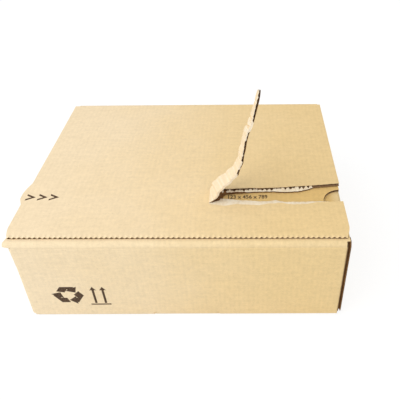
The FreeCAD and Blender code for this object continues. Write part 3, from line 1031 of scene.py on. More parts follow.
@dataclass
class Walls:
    """The four walls with their flaps, the upright folds and the glued joint's flap."""

    sizes: CartonSizes
    fluting: FlutingTree
    flap_reach: float = 85.0
    flap_edge_in: float = 0.8
    notch_radius: float = 17.5
    notch_from_face: float = 52.5
    notch_run: float = 26.0
    ear_reach: float = 3.2
    ear_length: float = 15.0
    dust_reach: float = 82.0
    dust_taper: float = 9.0
    side_flap_reach: float = 96.0
    side_flap_taper: float = 22.0
    main_flap_edge_in: float = 1.5
    hook_reach: float = 13.0
    hook_slant: float = 16.0
    hook_from_middle: float = 42.0
    seam_gap: float = 0.6
    seam_run: float = 60.0
    lock_half: float = 32.0
    lock_height: float = 6.0
    lock_recess: float = 0.7
    lock_slit: float = 0.9
    joint_reach: float = 38.0
    joint_bevel: float = 9.0
    joint_clearance: float = 1.0
    joint_fold: float = 0.8
    corner_run: float = 1.3
    cut_rise: float = 3.6
    lip_run: float = 1.8
    score_height: float = 101.0
    second_score_height: float = 95.2
    wall_step: float = 9.0
    column_step: float = 1.1625
    score_depth: float = 0.45
    score_half: float = 1.7
    second_score_depth: float = 0.14
    second_score_half: float = 1.5
    buckle: float = 0.28
    buckle_run: float = 20.0
    bulge: float = 2.8
    bulge_height: float = 70.0
    bulge_from: float = 100.0
    bulge_run: float = 55.0
    painted_shade_from: float = -107.0
    buckles: Uneven = Uneven(70.0, 3.0)
    scoring: Uneven = Uneven(14.0, 8.0)
    rubbing: Uneven = Uneven(9.0, 11.0)
    panels: dict = field(default_factory=dict)

    def __post_init__(self) -> None:
        """Make the four panels."""
        s = self.sizes
        past = self.hook_reach + self.seam_gap
        front = Profile([(s.half_depth - self.flap_reach, s.flap_top), (s.half_depth, s.flap_top),
                         (s.half_depth, 0.0), (-past, 0.0)], s.fold)
        rear = Profile([(s.half_depth - 2 * s.fold, s.height), (s.half_depth, s.height),
                        (s.half_depth, 0.0), (-past, 0.0)], s.fold)
        flap_end = s.half_length - self.dust_reach
        foot_end = s.half_length - self.side_flap_reach
        flank = Profile([(flap_end, s.dust_top), (s.half_length, s.dust_top),
                         (s.half_length, s.side_bottom), (foot_end, s.side_bottom)], s.fold)
        self.panels = {
            Side.FRONT: Panel(Side.FRONT, front, s.joint_face - self.joint_fold, self.bulged,
                              self.front_dents, self.front_wear),
            Side.REAR: Panel(Side.REAR, rear, s.half_length - s.fold, self.bulged, self.plain_dents,
                             self.plain_wear),
        }
        for side in (Side.LEFT, Side.RIGHT):
            self.panels[side] = Panel(side, flank, s.slot_end, self.bulged, self.plain_dents,
                                      self.flank_wear_and_shade)

    def bulged(self, points: Array) -> Array:
        """Points moved outwards where the left wall bulges low at its front corner."""
        x, y, z = points[..., 0], points[..., 1], points[..., 2]
        share = np.clip(1 - z / self.bulge_height, 0, 1) * np.clip(-y / self.sizes.half_depth, 0, 1)
        share = share * ramp(-x, self.bulge_from, self.bulge_run)
        return points - np.array([self.bulge, 0.0, 0.0]) * share[..., None]

    def plain_dents(self, across: Array, along: Array, height: Array) -> Array:
        """Slight buckling of a wall that dies out at its folds."""
        rise = ramp(height, 0, self.buckle_run)
        rise = rise * np.clip((self.sizes.height - 8 - height) / self.buckle_run, 0, 1)
        return self.buckle * self.buckles.over(across, along) * rise

    def front_dents(self, across: Array, along: Array, height: Array) -> Array:
        """Buckling, score lines under the top fold and the lock at the bottom fold."""
        dents = self.plain_dents(across, along, height)
        wall = along > self.wall_start()
        uneven = 0.75 + 0.25 * self.scoring.over(across)
        for depth, place, half in (
            (self.score_depth, self.score_height, self.score_half),
            (self.second_score_depth, self.second_score_height, self.second_score_half),
        ):
            dents = dents + wall * depth * uneven * band(height, place, half)
        edge = np.clip((self.lock_half - np.abs(across)) / 0.5 + 0.5, 0, 1)
        low = np.clip((self.lock_height - height) / 0.4 + 0.5, 0, 1)
        above = ramp(height, 1.0, 1.5)
        slit = np.clip((self.lock_slit - np.abs(np.abs(across) - self.lock_half)) / 0.3 + 0.5, 0, 1)
        return dents + wall * low * above * (edge * self.lock_recess + slit * 1.2)

    def plain_wear(self, across: Array, along: Array, height: Array) -> Array:
        """Lighter paper where the liner is stretched over a fold."""
        s = self.sizes
        top = band(height, s.height - 2.4, 5.0)
        return (top + band(height, 1.5, 4.0)) * (0.6 + 0.4 * self.rubbing.over(across, along))

    def flank_wear_and_shade(self, across: Array, along: Array, height: Array) -> Array:
        """Rubbing of a side wall, with painted shade on its dust flap under the lid."""
        shaded_under_lid = np.clip((self.dust_reach - self.sizes.fold - along) / 2, 0, 1)
        # Painted shade: -1 on the dust flap under the lid.
        return self.plain_wear(across, along, height) * (1 - shaded_under_lid) - shaded_under_lid

    def front_wear(self, across: Array, along: Array, height: Array) -> Array:
        """Lighter paper on the top fold of the front wall."""
        fold = np.clip((along - self.wall_start() + 13) / 5, 0, 1)
        fold = fold * np.clip((height - self.score_height + 0.6) / 1.2, 0, 1)
        wear_and_shade = fold * 0.75 + band(height, 1.0, 3.0) * 0.4
        return wear_and_shade * (0.7 + 0.3 * self.rubbing.over(across, along))

    def wall_start(self) -> float:
        """Distance along the front profile at which the wall leaves the top fold."""
        return self.flap_reach - self.sizes.fold + self.sizes.fold * math.pi / 2

    def along_top(self, panel: Panel, outwards: "Array | float") -> "Array | float":
        """Distance along a profile of a place on its top flap."""
        return outwards - panel.profile.legs[0].point[0]

    def along_foot(self, panel: Panel, outwards: "Array | float") -> "Array | float":
        """Distance along a profile of a place on its bottom flap."""
        last = panel.profile.legs[-1]
        return last.start + last.point[0] - outwards

    def seam(self, across: Array, turn: int) -> Array:
        """Place along Y of the hooked seam's edge, of the front flap for -1 and the rear flap for 1."""
        middle = np.clip((across + self.hook_from_middle) / (self.hook_slant / 2), -1, 1)
        return -self.hook_reach * middle + turn * self.seam_gap / 2

    def build(self) -> None:
        """Build all walls and folds."""
        self.build_front()
        self.build_rear()
        for side in (Side.LEFT, Side.RIGHT):
            self.build_flank(side)
        self.build_corners()

    def build_front(self) -> None:
        """Front wall with the inner flap, its notch and ear, and the front bottom flap."""
        s = self.sizes
        panel = self.panels[Side.FRONT]
        piece = BoardPiece("front_wall", s, self.fluting)
        profile = panel.profile
        left = s.fold - s.half_length
        joint = s.joint_face - self.joint_fold
        side = s.half_length - self.flap_edge_in
        fold_end = self.wall_start()
        notch_left = side - self.notch_radius
        notch_along = self.flap_reach - self.notch_from_face
        foot = float(self.along_foot(panel, self.hook_reach))

        zone = fold_end + (profile.at(np.array([fold_end]))[0][0, 1]
                           - np.array([self.score_height, self.second_score_height]))
        scores = np.concatenate([centre + np.arange(-2.4, 2.5, 0.4) for centre in zone])
        low_lock = fold_end + s.corner_high - self.lock_height
        extra = np.concatenate([scores, low_lock + np.arange(-0.6, 2.5, 0.3)])

        def notch_edge(columns: Array, turn: int) -> Array:
            """Distance along the profile of the notch's edge, before its middle for -1, past it for 1."""
            across = np.clip((side - columns) / self.notch_radius, -1, 1)
            return notch_along + turn * self.notch_radius * np.sqrt(1 - across ** 2)

        def rows(low: float, high: float, more: Array | None = None) -> Array:
            """Rows of the front panel."""
            return profile.rows(low, high, self.wall_step, more)

        slits = np.concatenate([edge + np.arange(-1.8, 1.9, 0.3)
                                for edge in (-self.lock_half, self.lock_half)])
        columns = np.unique(np.round(np.concatenate([even(left, notch_left, self.column_step), slits]), 4))
        high = self.along_foot(panel, -self.seam(columns, -1))
        whole = panel.stretch(columns, rows(0.0, foot, extra), None, high, self.seam_run)
        self.paint_shade_under_lid(whole)
        piece.add_outer(whole)
        piece.add_inner(whole)
        fine = even(left, notch_left, s.pitch / 8)
        piece.add_medium(panel.stretch(fine, rows(0.0, fold_end)))
        piece.add_core(panel.stretch(columns, rows(fold_end, foot, extra), None, high, self.seam_run))

        turns = np.linspace(0, math.pi / 2, 25)
        round_columns = side - self.notch_radius * np.cos(turns)
        inside = round_columns[round_columns < joint - 0.2]
        inside = np.append(inside, joint)
        outside = np.append(joint, round_columns[round_columns > joint + 0.2])
        start = notch_along + self.notch_radius
        foot_high = self.along_foot(panel, -self.seam(inside, -1))
        near = panel.stretch(inside, rows(start, foot, extra), notch_edge(inside, 1), foot_high,
                             self.notch_run)
        self.paint_shade_under_lid(near)
        piece.add_outer(near, Edge.PALE)
        piece.add_inner(near)
        piece.add_medium(panel.stretch(inside, rows(start, fold_end), notch_edge(inside, 1), None,
                                       self.notch_run))
        piece.add_core(panel.stretch(inside, rows(fold_end, foot, extra), None, foot_high,
                                     self.notch_run))
        for stretch in (
            panel.stretch(outside, rows(start, profile.legs[1].start + self.lip_run),
                          notch_edge(outside, 1), None, self.notch_run),
            panel.stretch(round_columns, rows(0.0, notch_along - self.notch_radius), None,
                          notch_edge(round_columns, -1), 14.0),
            panel.stretch(even(-side, left, s.pitch / 8), rows(0.0, fold_end)),
        ):
            self.paint_shade_under_lid(stretch)
            piece.add_board(stretch, Edge.PALE)

        ear = even(-s.half_length - self.ear_reach, -side, s.pitch / 8)
        share = (ear - ear[0]) / (ear[-1] - ear[0])
        tip = self.along_top(panel, s.half_depth - s.fold_inside)
        root = self.along_top(panel, s.half_depth - self.ear_length)
        low = tip + (root - tip) * share ** 0.8
        high = fold_end - 1.2 * (1 - share)
        piece.add_board(panel.stretch(ear, profile.rows(root, fold_end, 1.5), low, high, 12.0), Edge.PALE)
        edge = s.half_length - self.main_flap_edge_in
        self.add_foot_ends(piece, panel, ((-edge, left), (joint, edge)), -1)
        piece.build()

    def add_foot_ends(self, piece: BoardPiece, panel: Panel, ends: tuple, turn: int) -> None:
        """Add the ends of a main bottom flap, which stand past its wall's folds."""
        profile = panel.profile
        rows = profile.rows(profile.legs[-1].start, float(self.along_foot(panel, self.hook_reach)),
                            self.wall_step)
        for low, high in ends:
            columns = even(low, high, self.column_step)
            foot = self.along_foot(panel, turn * self.seam(columns, turn))
            piece.add_closed(panel.stretch(columns, rows, None, foot, self.seam_run))

    def paint_shade_under_lid(self, stretch: Stretch) -> None:
        """Paint the inner flap under the lid darker, as painted shade of the recess under the lid."""
        shaded_under_lid = (stretch.outer[..., 1] > self.painted_shade_from) & (stretch.outer[..., 2] > 100)
        # Painted shade: the flap under the lid takes the darker painted-shade colour.
        stretch.wear_and_shade[shaded_under_lid] = -1.0

    def build_rear(self) -> None:
        """Rear wall with its folds and the rear bottom flap."""
        s = self.sizes
        panel = self.panels[Side.REAR]
        piece = BoardPiece("rear_wall", s, self.fluting)
        profile = panel.profile
        half = s.half_length - s.fold
        foot = float(self.along_foot(panel, self.hook_reach))
        columns = even(-half, half, 2 * self.column_step)
        rows = profile.rows(profile.legs[1].start, foot, self.wall_step)
        high = self.along_foot(panel, self.seam(columns, 1))
        piece.add_closed(panel.stretch(columns, rows, None, high, self.seam_run))
        edge = s.half_length - self.main_flap_edge_in
        self.add_foot_ends(piece, panel, ((-edge, -half), (half, edge)), 1)
        piece.build()

    def build_flank(self, side: Side) -> None:
        """Side wall with its dust flap and side bottom flap."""
        s = self.sizes
        panel = self.panels[side]
        piece = BoardPiece(side.name.lower() + "_wall", s, self.fluting)
        profile = panel.profile
        columns = even(-s.slot_end, s.slot_end, 2 * self.column_step)
        stretch = panel.stretch(columns, profile.rows(0.0, profile.length, self.wall_step))
        along = stretch.flat[..., 1]
        top = np.clip(1 - along / (self.dust_reach - s.fold), 0, 1) * self.dust_taper
        foot = np.clip(1 - (profile.length - along) / (self.side_flap_reach - s.fold), 0, 1)
        narrowed = 1 - (top + foot * self.side_flap_taper) / s.slot_end
        stretch.outer[..., 1] *= narrowed
        piece.add_closed(stretch)
        if side is Side.RIGHT:
            wall = profile.legs[2]
            low = wall.start - (s.corner_high + self.cut_rise - (s.dust_top - s.fold))
            high = wall.start + wall.length
            cut = panel.stretch(even(-s.half_depth, -s.slot_end, s.pitch / 12),
                                np.linspace(low, high, 24))
            line = wall.point[1] - (cut.flat[..., 1] - wall.start)
            cut.outer[..., 0] = s.half_length
            cut.outer[..., 2] = line
            risen = np.clip(line - s.corner_high, 0, s.fold)
            cut.outer[..., 1] += s.fold - np.sqrt(s.fold ** 2 - risen ** 2) + 0.2 * (risen > 0)
            cut.outward[...] = (1.0, 0.0, 0.0)
            cut.flat[..., 0] += s.half_depth + s.pitch * 0.3
            piece.add_board(cut)
        piece.build()

    def build_corners(self) -> None:
        """Upright folds at the corners, and the flap of the glued joint."""
        s = self.sizes
        piece = BoardPiece("corner_folds", s, self.fluting)
        wall_low = s.side_bottom + s.fold
        wall_high = s.dust_top - s.fold
        x, y = s.half_length, s.half_depth
        run = s.fold + self.corner_run
        for corners, side_first in (
            ([(-x, y - run), (-x, y), (s.fold - x, y)], True),
            ([(x - s.fold, y), (x, y), (x, y - run)], False),
            ([(s.fold - x, -y), (-x, -y), (-x, run - y)], False),
        ):
            profile = Profile(corners, s.fold)
            columns = profile.rows(0.0, profile.length, 2.0)
            share = columns / profile.length if side_first else 1 - columns / profile.length
            low = wall_low + (s.corner_low - wall_low) * share
            high = wall_high + (s.corner_high - wall_high) * share
            piece.add_closed(self.upright(profile, columns, low, high))
        face = s.joint_face
        profile = Profile([(face, self.joint_reach - y), (face, -y), (face - self.joint_fold, -y)],
                          self.joint_fold)
        columns = profile.rows(0.0, profile.length, 4.0)
        straight = profile.length - self.joint_fold * math.pi / 2
        flap_low = wall_low + self.joint_clearance
        flap_high = wall_high - self.joint_clearance
        low = np.interp(columns, [0, straight, profile.length], [flap_low + self.joint_bevel, 5.0, 1.6])
        high = np.interp(columns, [0, straight, profile.length],
                         [flap_high - self.joint_bevel, flap_high, s.corner_high])
        piece.add_outer(self.upright(profile, columns, low, high))
        flat = columns <= straight + 0.01
        glued = self.upright(profile, columns[flat], low[flat], high[flat])
        piece.add_core(glued)
        piece.add_inner(glued)
        piece.build()

    def upright(self, profile: Profile, columns: Array, low: Array, high: Array) -> Stretch:
        """Upright stretch of board over a profile in plan."""
        rows = np.linspace(0, 1, 14)
        along = low[:, None] + (high - low)[:, None] * rows
        across = spread(columns, len(rows))
        line, out = profile.at(across)
        points = self.bulged(np.concatenate([line, along[..., None]], axis=-1))
        outward = np.concatenate([out, np.zeros_like(along)[..., None]], axis=-1)
        flat = grid(across, along)
        return Stretch(points, outward, flat, np.zeros_like(across), np.zeros_like(across))


TEAR_FRONT = -64.5
TEAR_REAR = -43.5
TEAR_ROOT = 25.0


@dataclass(frozen=True)
class Tear:
    """Torn edge of one layer of board along the gap.

    Attributes:
        line: Place along Y of the perforated line that it follows.
        into_gap: Sign of Y towards the gap.
        seed: Seed of its raggedness.
        rough: How ragged it is, in mm.
        stands: Pairs of a share of the gap's length and how far the edge stands into the gap.
        size: Size of its ragged steps, in mm.
    """

    line: float
    into_gap: int
    seed: float
    rough: float
    stands: tuple
    size: float = 4.5


@dataclass
class Lid:
    """Lid with its cut front edge and the torn gap, ahead of its rear fold."""

    sizes: CartonSizes
    fluting: FlutingTree
    torn_lines: list = field(default_factory=list)
    ledge_left: float = 6.5
    ledge_right: float = 5.0
    left_rear: float = -156.0
    left_front: float = -158.4
    right_rear: float = 154.0
    right_front: float = 155.4
    trim_left: float = 3.0
    trim_right: float = 3.6
    trim_run: float = 12.0
    side_run: float = 14.0
    tab_reach: float = 4.2
    tab_front: float = -68.0
    tab_rear: float = -37.0
    tab_run: float = 11.0
    tear_front: float = TEAR_FRONT
    tear_rear: float = TEAR_REAR
    root: float = TEAR_ROOT
    bow: float = 0.22
    edge_press: float = 1.6
    edge_droop: float = 0.2
    lift: float = 0.8
    ply_start: float = 31.0
    ply_end: float = 128.0
    brown_end: float = 62.0
    front_rows: tuple = (0.0, 0.35, 0.7, 1.1, 1.6, 2.3, 3.2, 4.5, 7.0)
    root_reach: tuple = (
        (-64.0, 5.0), (-62.0, 9.0), (-60.0, 11.0), (-56.0, 13.0), (-50.0, 17.5), (-46.0, 18.0))
    bowing: Uneven = Uneven(65.0, 1.0)
    left_cut: Uneven = Uneven(6.0, 2.0)
    right_cut: Uneven = Uneven(6.0, 4.0)
    front_cut: Uneven = Uneven(3.0, 6.0)
    crushing: Uneven = Uneven(13.0, 21.0)
    rear_bits: Uneven = Uneven(3.0, 41.0)
    rear_holes: Uneven = Uneven(5.2, 42.0)
    rear_bumps: Uneven = Uneven(3.0, 43.0)
    rear_pulp: Uneven = Uneven(2.2, 44.0)
    rear_width: Uneven = Uneven(11.0, 45.0)
    front_droop: Uneven = Uneven(18.0, 46.0)
    front_pulp: Uneven = Uneven(3.0, 47.0)
    root_edge: Uneven = Uneven(3.5, 55.0)
    root_pulp: Uneven = Uneven(2.5, 56.0)
    brown_edge: Uneven = Uneven(3.1, 58.0)
    brown_pulp: Uneven = Uneven(2.4, 59.0)
    rear_liner: Tear = Tear(TEAR_REAR, -1, 31.0, 0.5, (
        (0.0, 3.2), (0.23, 2.9), (0.31, 2.0), (0.38, 2.6), (0.54, 1.6), (0.62, 0.5), (0.77, -0.9),
        (1.0, -4.2)))
    rear_layer: Tear = Tear(TEAR_REAR, -1, 33.0, 0.35, (
        (0.0, 10.0), (0.1, 8.4), (0.21, 6.9), (0.34, 5.6), (0.48, 5.2), (0.56, 6.2), (0.67, 5.4),
        (0.73, 3.4), (0.77, 1.2), (0.8, -0.4), (1.0, -3.2)))
    front_liner: Tear = Tear(TEAR_FRONT, 1, 35.0, 0.55, (
        (0.0, -3.0), (0.12, -5.6), (0.2, -3.2), (0.37, -5.0), (0.43, -3.0), (0.54, -2.0),
        (0.62, -4.2), (0.73, -3.6), (0.8, -1.0), (1.0, -0.2)))
    front_layer: Tear = Tear(TEAR_FRONT, 1, 37.0, 0.45, (
        (0.0, 6.4), (0.14, 5.2), (0.24, 3.2), (0.37, 1.7), (0.45, 1.9), (0.5, 3.2), (0.56, 0.3),
        (0.68, 0.8), (0.8, 1.2), (1.0, -0.2)))

    @property
    def torn_length(self) -> float:
        """Length of the gap."""
        return self.right_front - self.root

    @property
    def phase(self) -> float:
        """Shift of the flutes so that they line up with the front edge's left end."""
        return self.left_front + self.trim_left

    def side_edge(self, y: Array, rear: float, front: float, ledge: float) -> tuple[Array, Array]:
        """Place along X of a side edge before it is trimmed, and how much of the trim is off."""
        s = self.sizes
        share = (s.half_depth - s.fold - y) / (2 * s.half_depth - s.fold)
        trim = np.clip((self.trim_run - s.half_depth + ledge - y) / self.trim_run, 0, 1)
        return rear + (front - rear) * share, trim ** 1.4

    def left_edge(self, y: Array) -> Array:
        """Place along X of the left edge, with the tab at the strip's end."""
        edge, trim = self.side_edge(y, self.left_rear, self.left_front, self.ledge_left)
        rise = ramp(y, self.tab_front, self.tab_run) * np.clip((self.tab_rear - y) / self.tab_run, 0, 1)
        rise = rise * rise * (3 - 2 * rise)
        return edge - self.tab_reach * rise + self.trim_left * trim + 0.15 * self.left_cut.torn(y)

    def right_edge(self, y: Array) -> Array:
        """Place along X of the right edge."""
        edge, trim = self.side_edge(y, self.right_rear, self.right_front, self.ledge_right)
        return edge - self.trim_right * trim + 0.12 * self.right_cut.torn(y)

    def front_edge(self, x: Array) -> Array:
        """Place along Y of the cut front edge."""
        share = (x - self.left_front) / (self.right_front - self.left_front)
        cut = self.ledge_left + (self.ledge_right - self.ledge_left) * share - self.sizes.half_depth
        return cut + 0.08 * self.front_cut.torn(x)

    def torn(self, tear: Tear, x: Array) -> Array:
        """Place along Y of a torn edge at each x."""
        shares, stands = zip(*tear.stands)
        stand = np.interp((x - self.root) / self.torn_length, shares, stands)
        return tear.line + tear.into_gap * stand + tear.rough * ragged(x, tear.size, tear.seed)

    def height(self, x: Array, y: Array) -> Array:
        """Height of the lid's upper face."""
        s = self.sizes
        calm = np.clip((s.half_depth - s.fold - y) / 15, 0, 1)
        inside = np.clip(y + s.half_depth - self.ledge_left, 0, None)
        bow = self.bow * (0.5 + 0.5 * self.bowing.over(x, y)) * calm * ramp(inside, 0, 12)
        droop = self.edge_droop * np.exp(-(inside / 4) ** 2)
        lifted = np.clip((y - self.tear_rear + 13) / 2, 0, 1) * np.clip((5 - y) / 45, 0, 1) ** 1.5
        lifted = lifted * np.clip((x - self.root - 3) / 22, 0, 1)
        return s.height - bow - droop + self.lift * lifted

    def warp(self, x: Array, y: Array) -> Array:
        """Move the columns near a side edge so that they end on it."""
        near = np.clip(1 - (x - self.left_front) / self.side_run, 0, 1)
        far = np.clip(1 - (self.right_front - x) / self.side_run, 0, 1)
        left = self.left_edge(y) - self.left_front
        right = self.right_edge(y) - self.right_front
        return x + left * near + right * far

    def pressed(self, x: Array, y: Array) -> Array:
        """How far the knife pressed the outer liner into the flutes along the front edge."""
        inside = np.clip(y - self.front_edge(x), 0, None)
        valley = 0.5 + 0.5 * flute_wave(x - self.phase, self.sizes.pitch)
        crushed = np.clip(self.crushing.over(x) * 2.2 - 0.45, 0, 1) * np.clip((x + 170) / 200, 0.3, 1)
        depth = self.edge_press * valley ** 0.8 * (1 - 0.3 * crushed) + 0.9 * crushed
        return np.clip(depth, 0, 1.7) * np.exp(-(inside / 1.5) ** 1.3)

    def stretch(self, columns: Array, rows: Array, low: Array, high: Array, reach: float) -> Stretch:
        """Flat stretch of the lid."""
        y = stretched(rows, low, high, reach)
        across = spread(columns, len(rows))
        x = self.warp(across, y)
        points = grid(x, y, self.height(x, y))
        outward = np.zeros_like(points)
        outward[..., 2] = 1.0
        flat = grid(x - self.phase, y)
        inside = y - self.front_edge(x)
        wear_and_shade = np.clip(1 - inside / 2.5, 0, 1) * 0.5
        return Stretch(points, outward, flat, wear_and_shade, self.pressed(x, y))

    def rows(self, low: float, high: float) -> Array:
        """Rows that are close together along the cut front edge."""
        front = self.ledge_left - self.sizes.half_depth
        close = front + np.array(self.front_rows)
        close = close[(close >= low - 1e-6) & (close < high)]
        rest = even(max(low, close[-1] + 4.0) if len(close) else low, high, 8.0)
        return np.unique(np.concatenate([close, rest]))

    def build(self) -> None:
        """Build the three parts of the lid and the torn plies."""
        s = self.sizes
        step = s.pitch / 8
        rear = s.half_depth - s.fold
        front = self.ledge_left - s.half_depth
        piece = BoardPiece("lid", s, self.fluting)

        columns = even(self.left_front, self.root, step)
        whole = np.full(len(columns), rear)
        piece.add_board(self.stretch(columns, self.rows(front, rear), self.front_edge(columns), whole, 6.0),
                        Edge.PALE)

        columns = even(self.root, self.right_front, step)
        back = np.full(len(columns), rear)
        rear_liner, rear_layer, front_liner, front_layer = (
            self.torn(tear, columns)
            for tear in (self.rear_liner, self.rear_layer, self.front_liner, self.front_layer))
        behind = self.rows(self.tear_rear, rear)
        piece.add_outer(self.stretch(columns, behind, rear_liner, back, 24.0), Edge.PALE)
        piece.add_medium(self.stretch(columns, behind, rear_liner + 1.6, back, 24.0))
        piece.add_inner(self.stretch(columns, behind, rear_layer, back, 24.0))
        ahead = self.rows(front, self.tear_front)
        cut = self.front_edge(columns)
        piece.add_outer(self.stretch(columns, ahead, cut, front_liner, 16.0), Edge.PALE)
        waved = np.minimum(front_layer - 2.0, front_liner)
        piece.add_medium(self.stretch(columns, ahead, cut, waved, 16.0))
        piece.add_inner(self.stretch(columns, ahead, cut, front_layer - 0.5, 16.0), Edge.PALE)
        piece.build()

        self.build_rear_ply(columns, rear_liner, rear_layer)
        self.build_front_ply(columns, front_liner, front_layer)
        self.build_root_ply()
        self.torn_lines = [self.line(columns, front_liner, 0.1), self.line(columns, front_layer, 1.2),
                           self.line(columns, rear_liner, 0.1)]

    def build_rear_ply(self, columns: Array, liner: Array, layer: Array) -> None:
        """Torn medium ends, the pale ply that stands out under the rear torn edge and a brown ply under it
        that is partly torn medium and partly painted shade.
        """
        s = self.sizes
        rows = np.linspace(self.tear_rear - 1.6, self.tear_rear, 4)
        start = liner - 0.5 + 0.7 * self.rear_bits.torn(columns)
        bits = self.stretch(columns, rows, start, liner + 1.7, 6.0)
        waves = [(bits.at(s.board / 2), -bits.outward, bits.flat[..., 0], np.ones_like(bits.pressed))]
        declare(self.fluting.build("torn_medium", waves))

        kept = (columns > self.ply_start) & (columns < self.ply_end)
        columns, liner, layer = columns[kept], liner[kept], layer[kept]
        waves = flute_wave(columns - self.phase, s.pitch)
        holes = np.clip(0.35 + 0.55 * waves + 1.5 * self.rear_holes.over(columns), 0, 1)
        wide = 1.9 + 1.1 * self.rear_width.over(columns)
        across, y, share = self.between(columns, liner + 1.2 - (1.2 + wide) * holes, layer, 9)
        bumps = 1.7 * (1 - holes)[:, None] * (0.8 + 0.4 * self.rear_bumps.over(across, y)) * (1 - share)
        depth = s.board - s.liner - 0.3 - bumps + 0.12 * self.rear_pulp.over(across, y)
        # Painted shade: the ply's 1.3 mm dark cut edge stands for the shadow line under the rear torn edge.
        self.ply("torn_rear_ply", across, y, depth, 1.3, Edge.CUT)

        # Brown ply: partly torn medium, partly painted shade of the gap under the rear torn edge.
        kept = columns < self.brown_end
        columns, liner, layer = columns[kept], liner[kept], layer[kept]
        left = np.clip((self.brown_end - columns) / (self.brown_end - self.ply_start), 0, 1) ** 0.6
        wide = (liner - layer) * left * 0.62 * (1 + 0.35 * self.brown_edge.torn(columns))
        across, y, share = self.between(columns, layer - 0.35, layer - 0.3 + wide, 6)
        depth = s.board - s.liner - 0.62 + 0.16 * self.brown_pulp.over(across, y)
        self.ply("torn_rear_medium_and_shade", across, y, depth, 0.5, Edge.CUT, SHADE_DARKENED_MEDIUM)

    def build_root_ply(self) -> None:
        """Brown torn plies where the strip leaves the lid, partly torn medium and partly painted shade
        under the strip's root.
        """
        y = np.arange(self.tear_front + 0.6, self.tear_rear - 2.5, 0.3)
        reach = np.interp(y, *zip(*self.root_reach)) + 1.5 * self.root_edge.torn(y)
        share = np.linspace(0, 1, 9)
        across = self.root - 1.5 + (reach[:, None] + 1.5) * share
        along = spread(y, len(share))
        inward = np.clip((along - self.tear_front - 2.0) / 6.0, 0, 1)
        uneven = (0.1 + 0.4 * inward) * self.root_pulp.over(across, along)
        depth = 0.25 + inward * (0.5 + 1.5 * share) + uneven
        self.ply("torn_root_ply_and_shade", across, along, depth, 0.3, Edge.CUT, SHADE_DARKENED_MEDIUM)

    def line(self, columns: Array, y: Array, depth: float) -> Array:
        """Line of points along an edge at a depth below the lid's face."""
        x = self.warp(columns, y)
        return grid(x, y, self.height(x, y) - depth)

    def build_front_ply(self, columns: Array, liner: Array, layer: Array) -> None:
        """Pale ply that is left bare in front of the gap and droops into it."""
        across, y, share = self.between(columns, liner - 1.2, np.maximum(layer, liner + 0.8), 12)
        droop = 1.1 + 0.7 * self.front_droop.over(across)
        flute = 0.06 * flute_wave(across - self.phase, self.sizes.pitch)
        fine = (flute + 0.09 * self.front_pulp.over(across, y)) * np.clip(share * 4, 0, 1)
        depth = 0.17 + droop * share ** 2 + fine
        depth = np.maximum(depth, 0.16 + 0.25 * np.clip(share * 8, 0, 1) * 0.5)
        self.ply("torn_front_ply", across, y, depth, 0.2)

    def between(self, columns: Array, start: Array, end: Array, count: int) -> tuple[Array, Array, Array]:
        """Grid between two edges: places across and along, and the share of the way."""
        share = np.linspace(0, 1, count) + np.zeros((len(columns), 1))
        y = start[:, None] + (end - start)[:, None] * share
        return spread(columns, count), y, share

    def ply(self, name: str, across: Array, y: Array, depth: Array, thick: float,
            edge: Edge = Edge.TORN, finish: Finish = TORN) -> None:
        """Thin torn ply at a depth below the lid's face."""
        x = self.warp(across, y)
        top = self.height(x, y)
        flat = grid(x, y)
        draft = Draft()
        draft.slab(grid(x, y, top - depth), grid(x, y, top - depth - thick), flat, None, edge)
        declare(draft.build(name, finish))


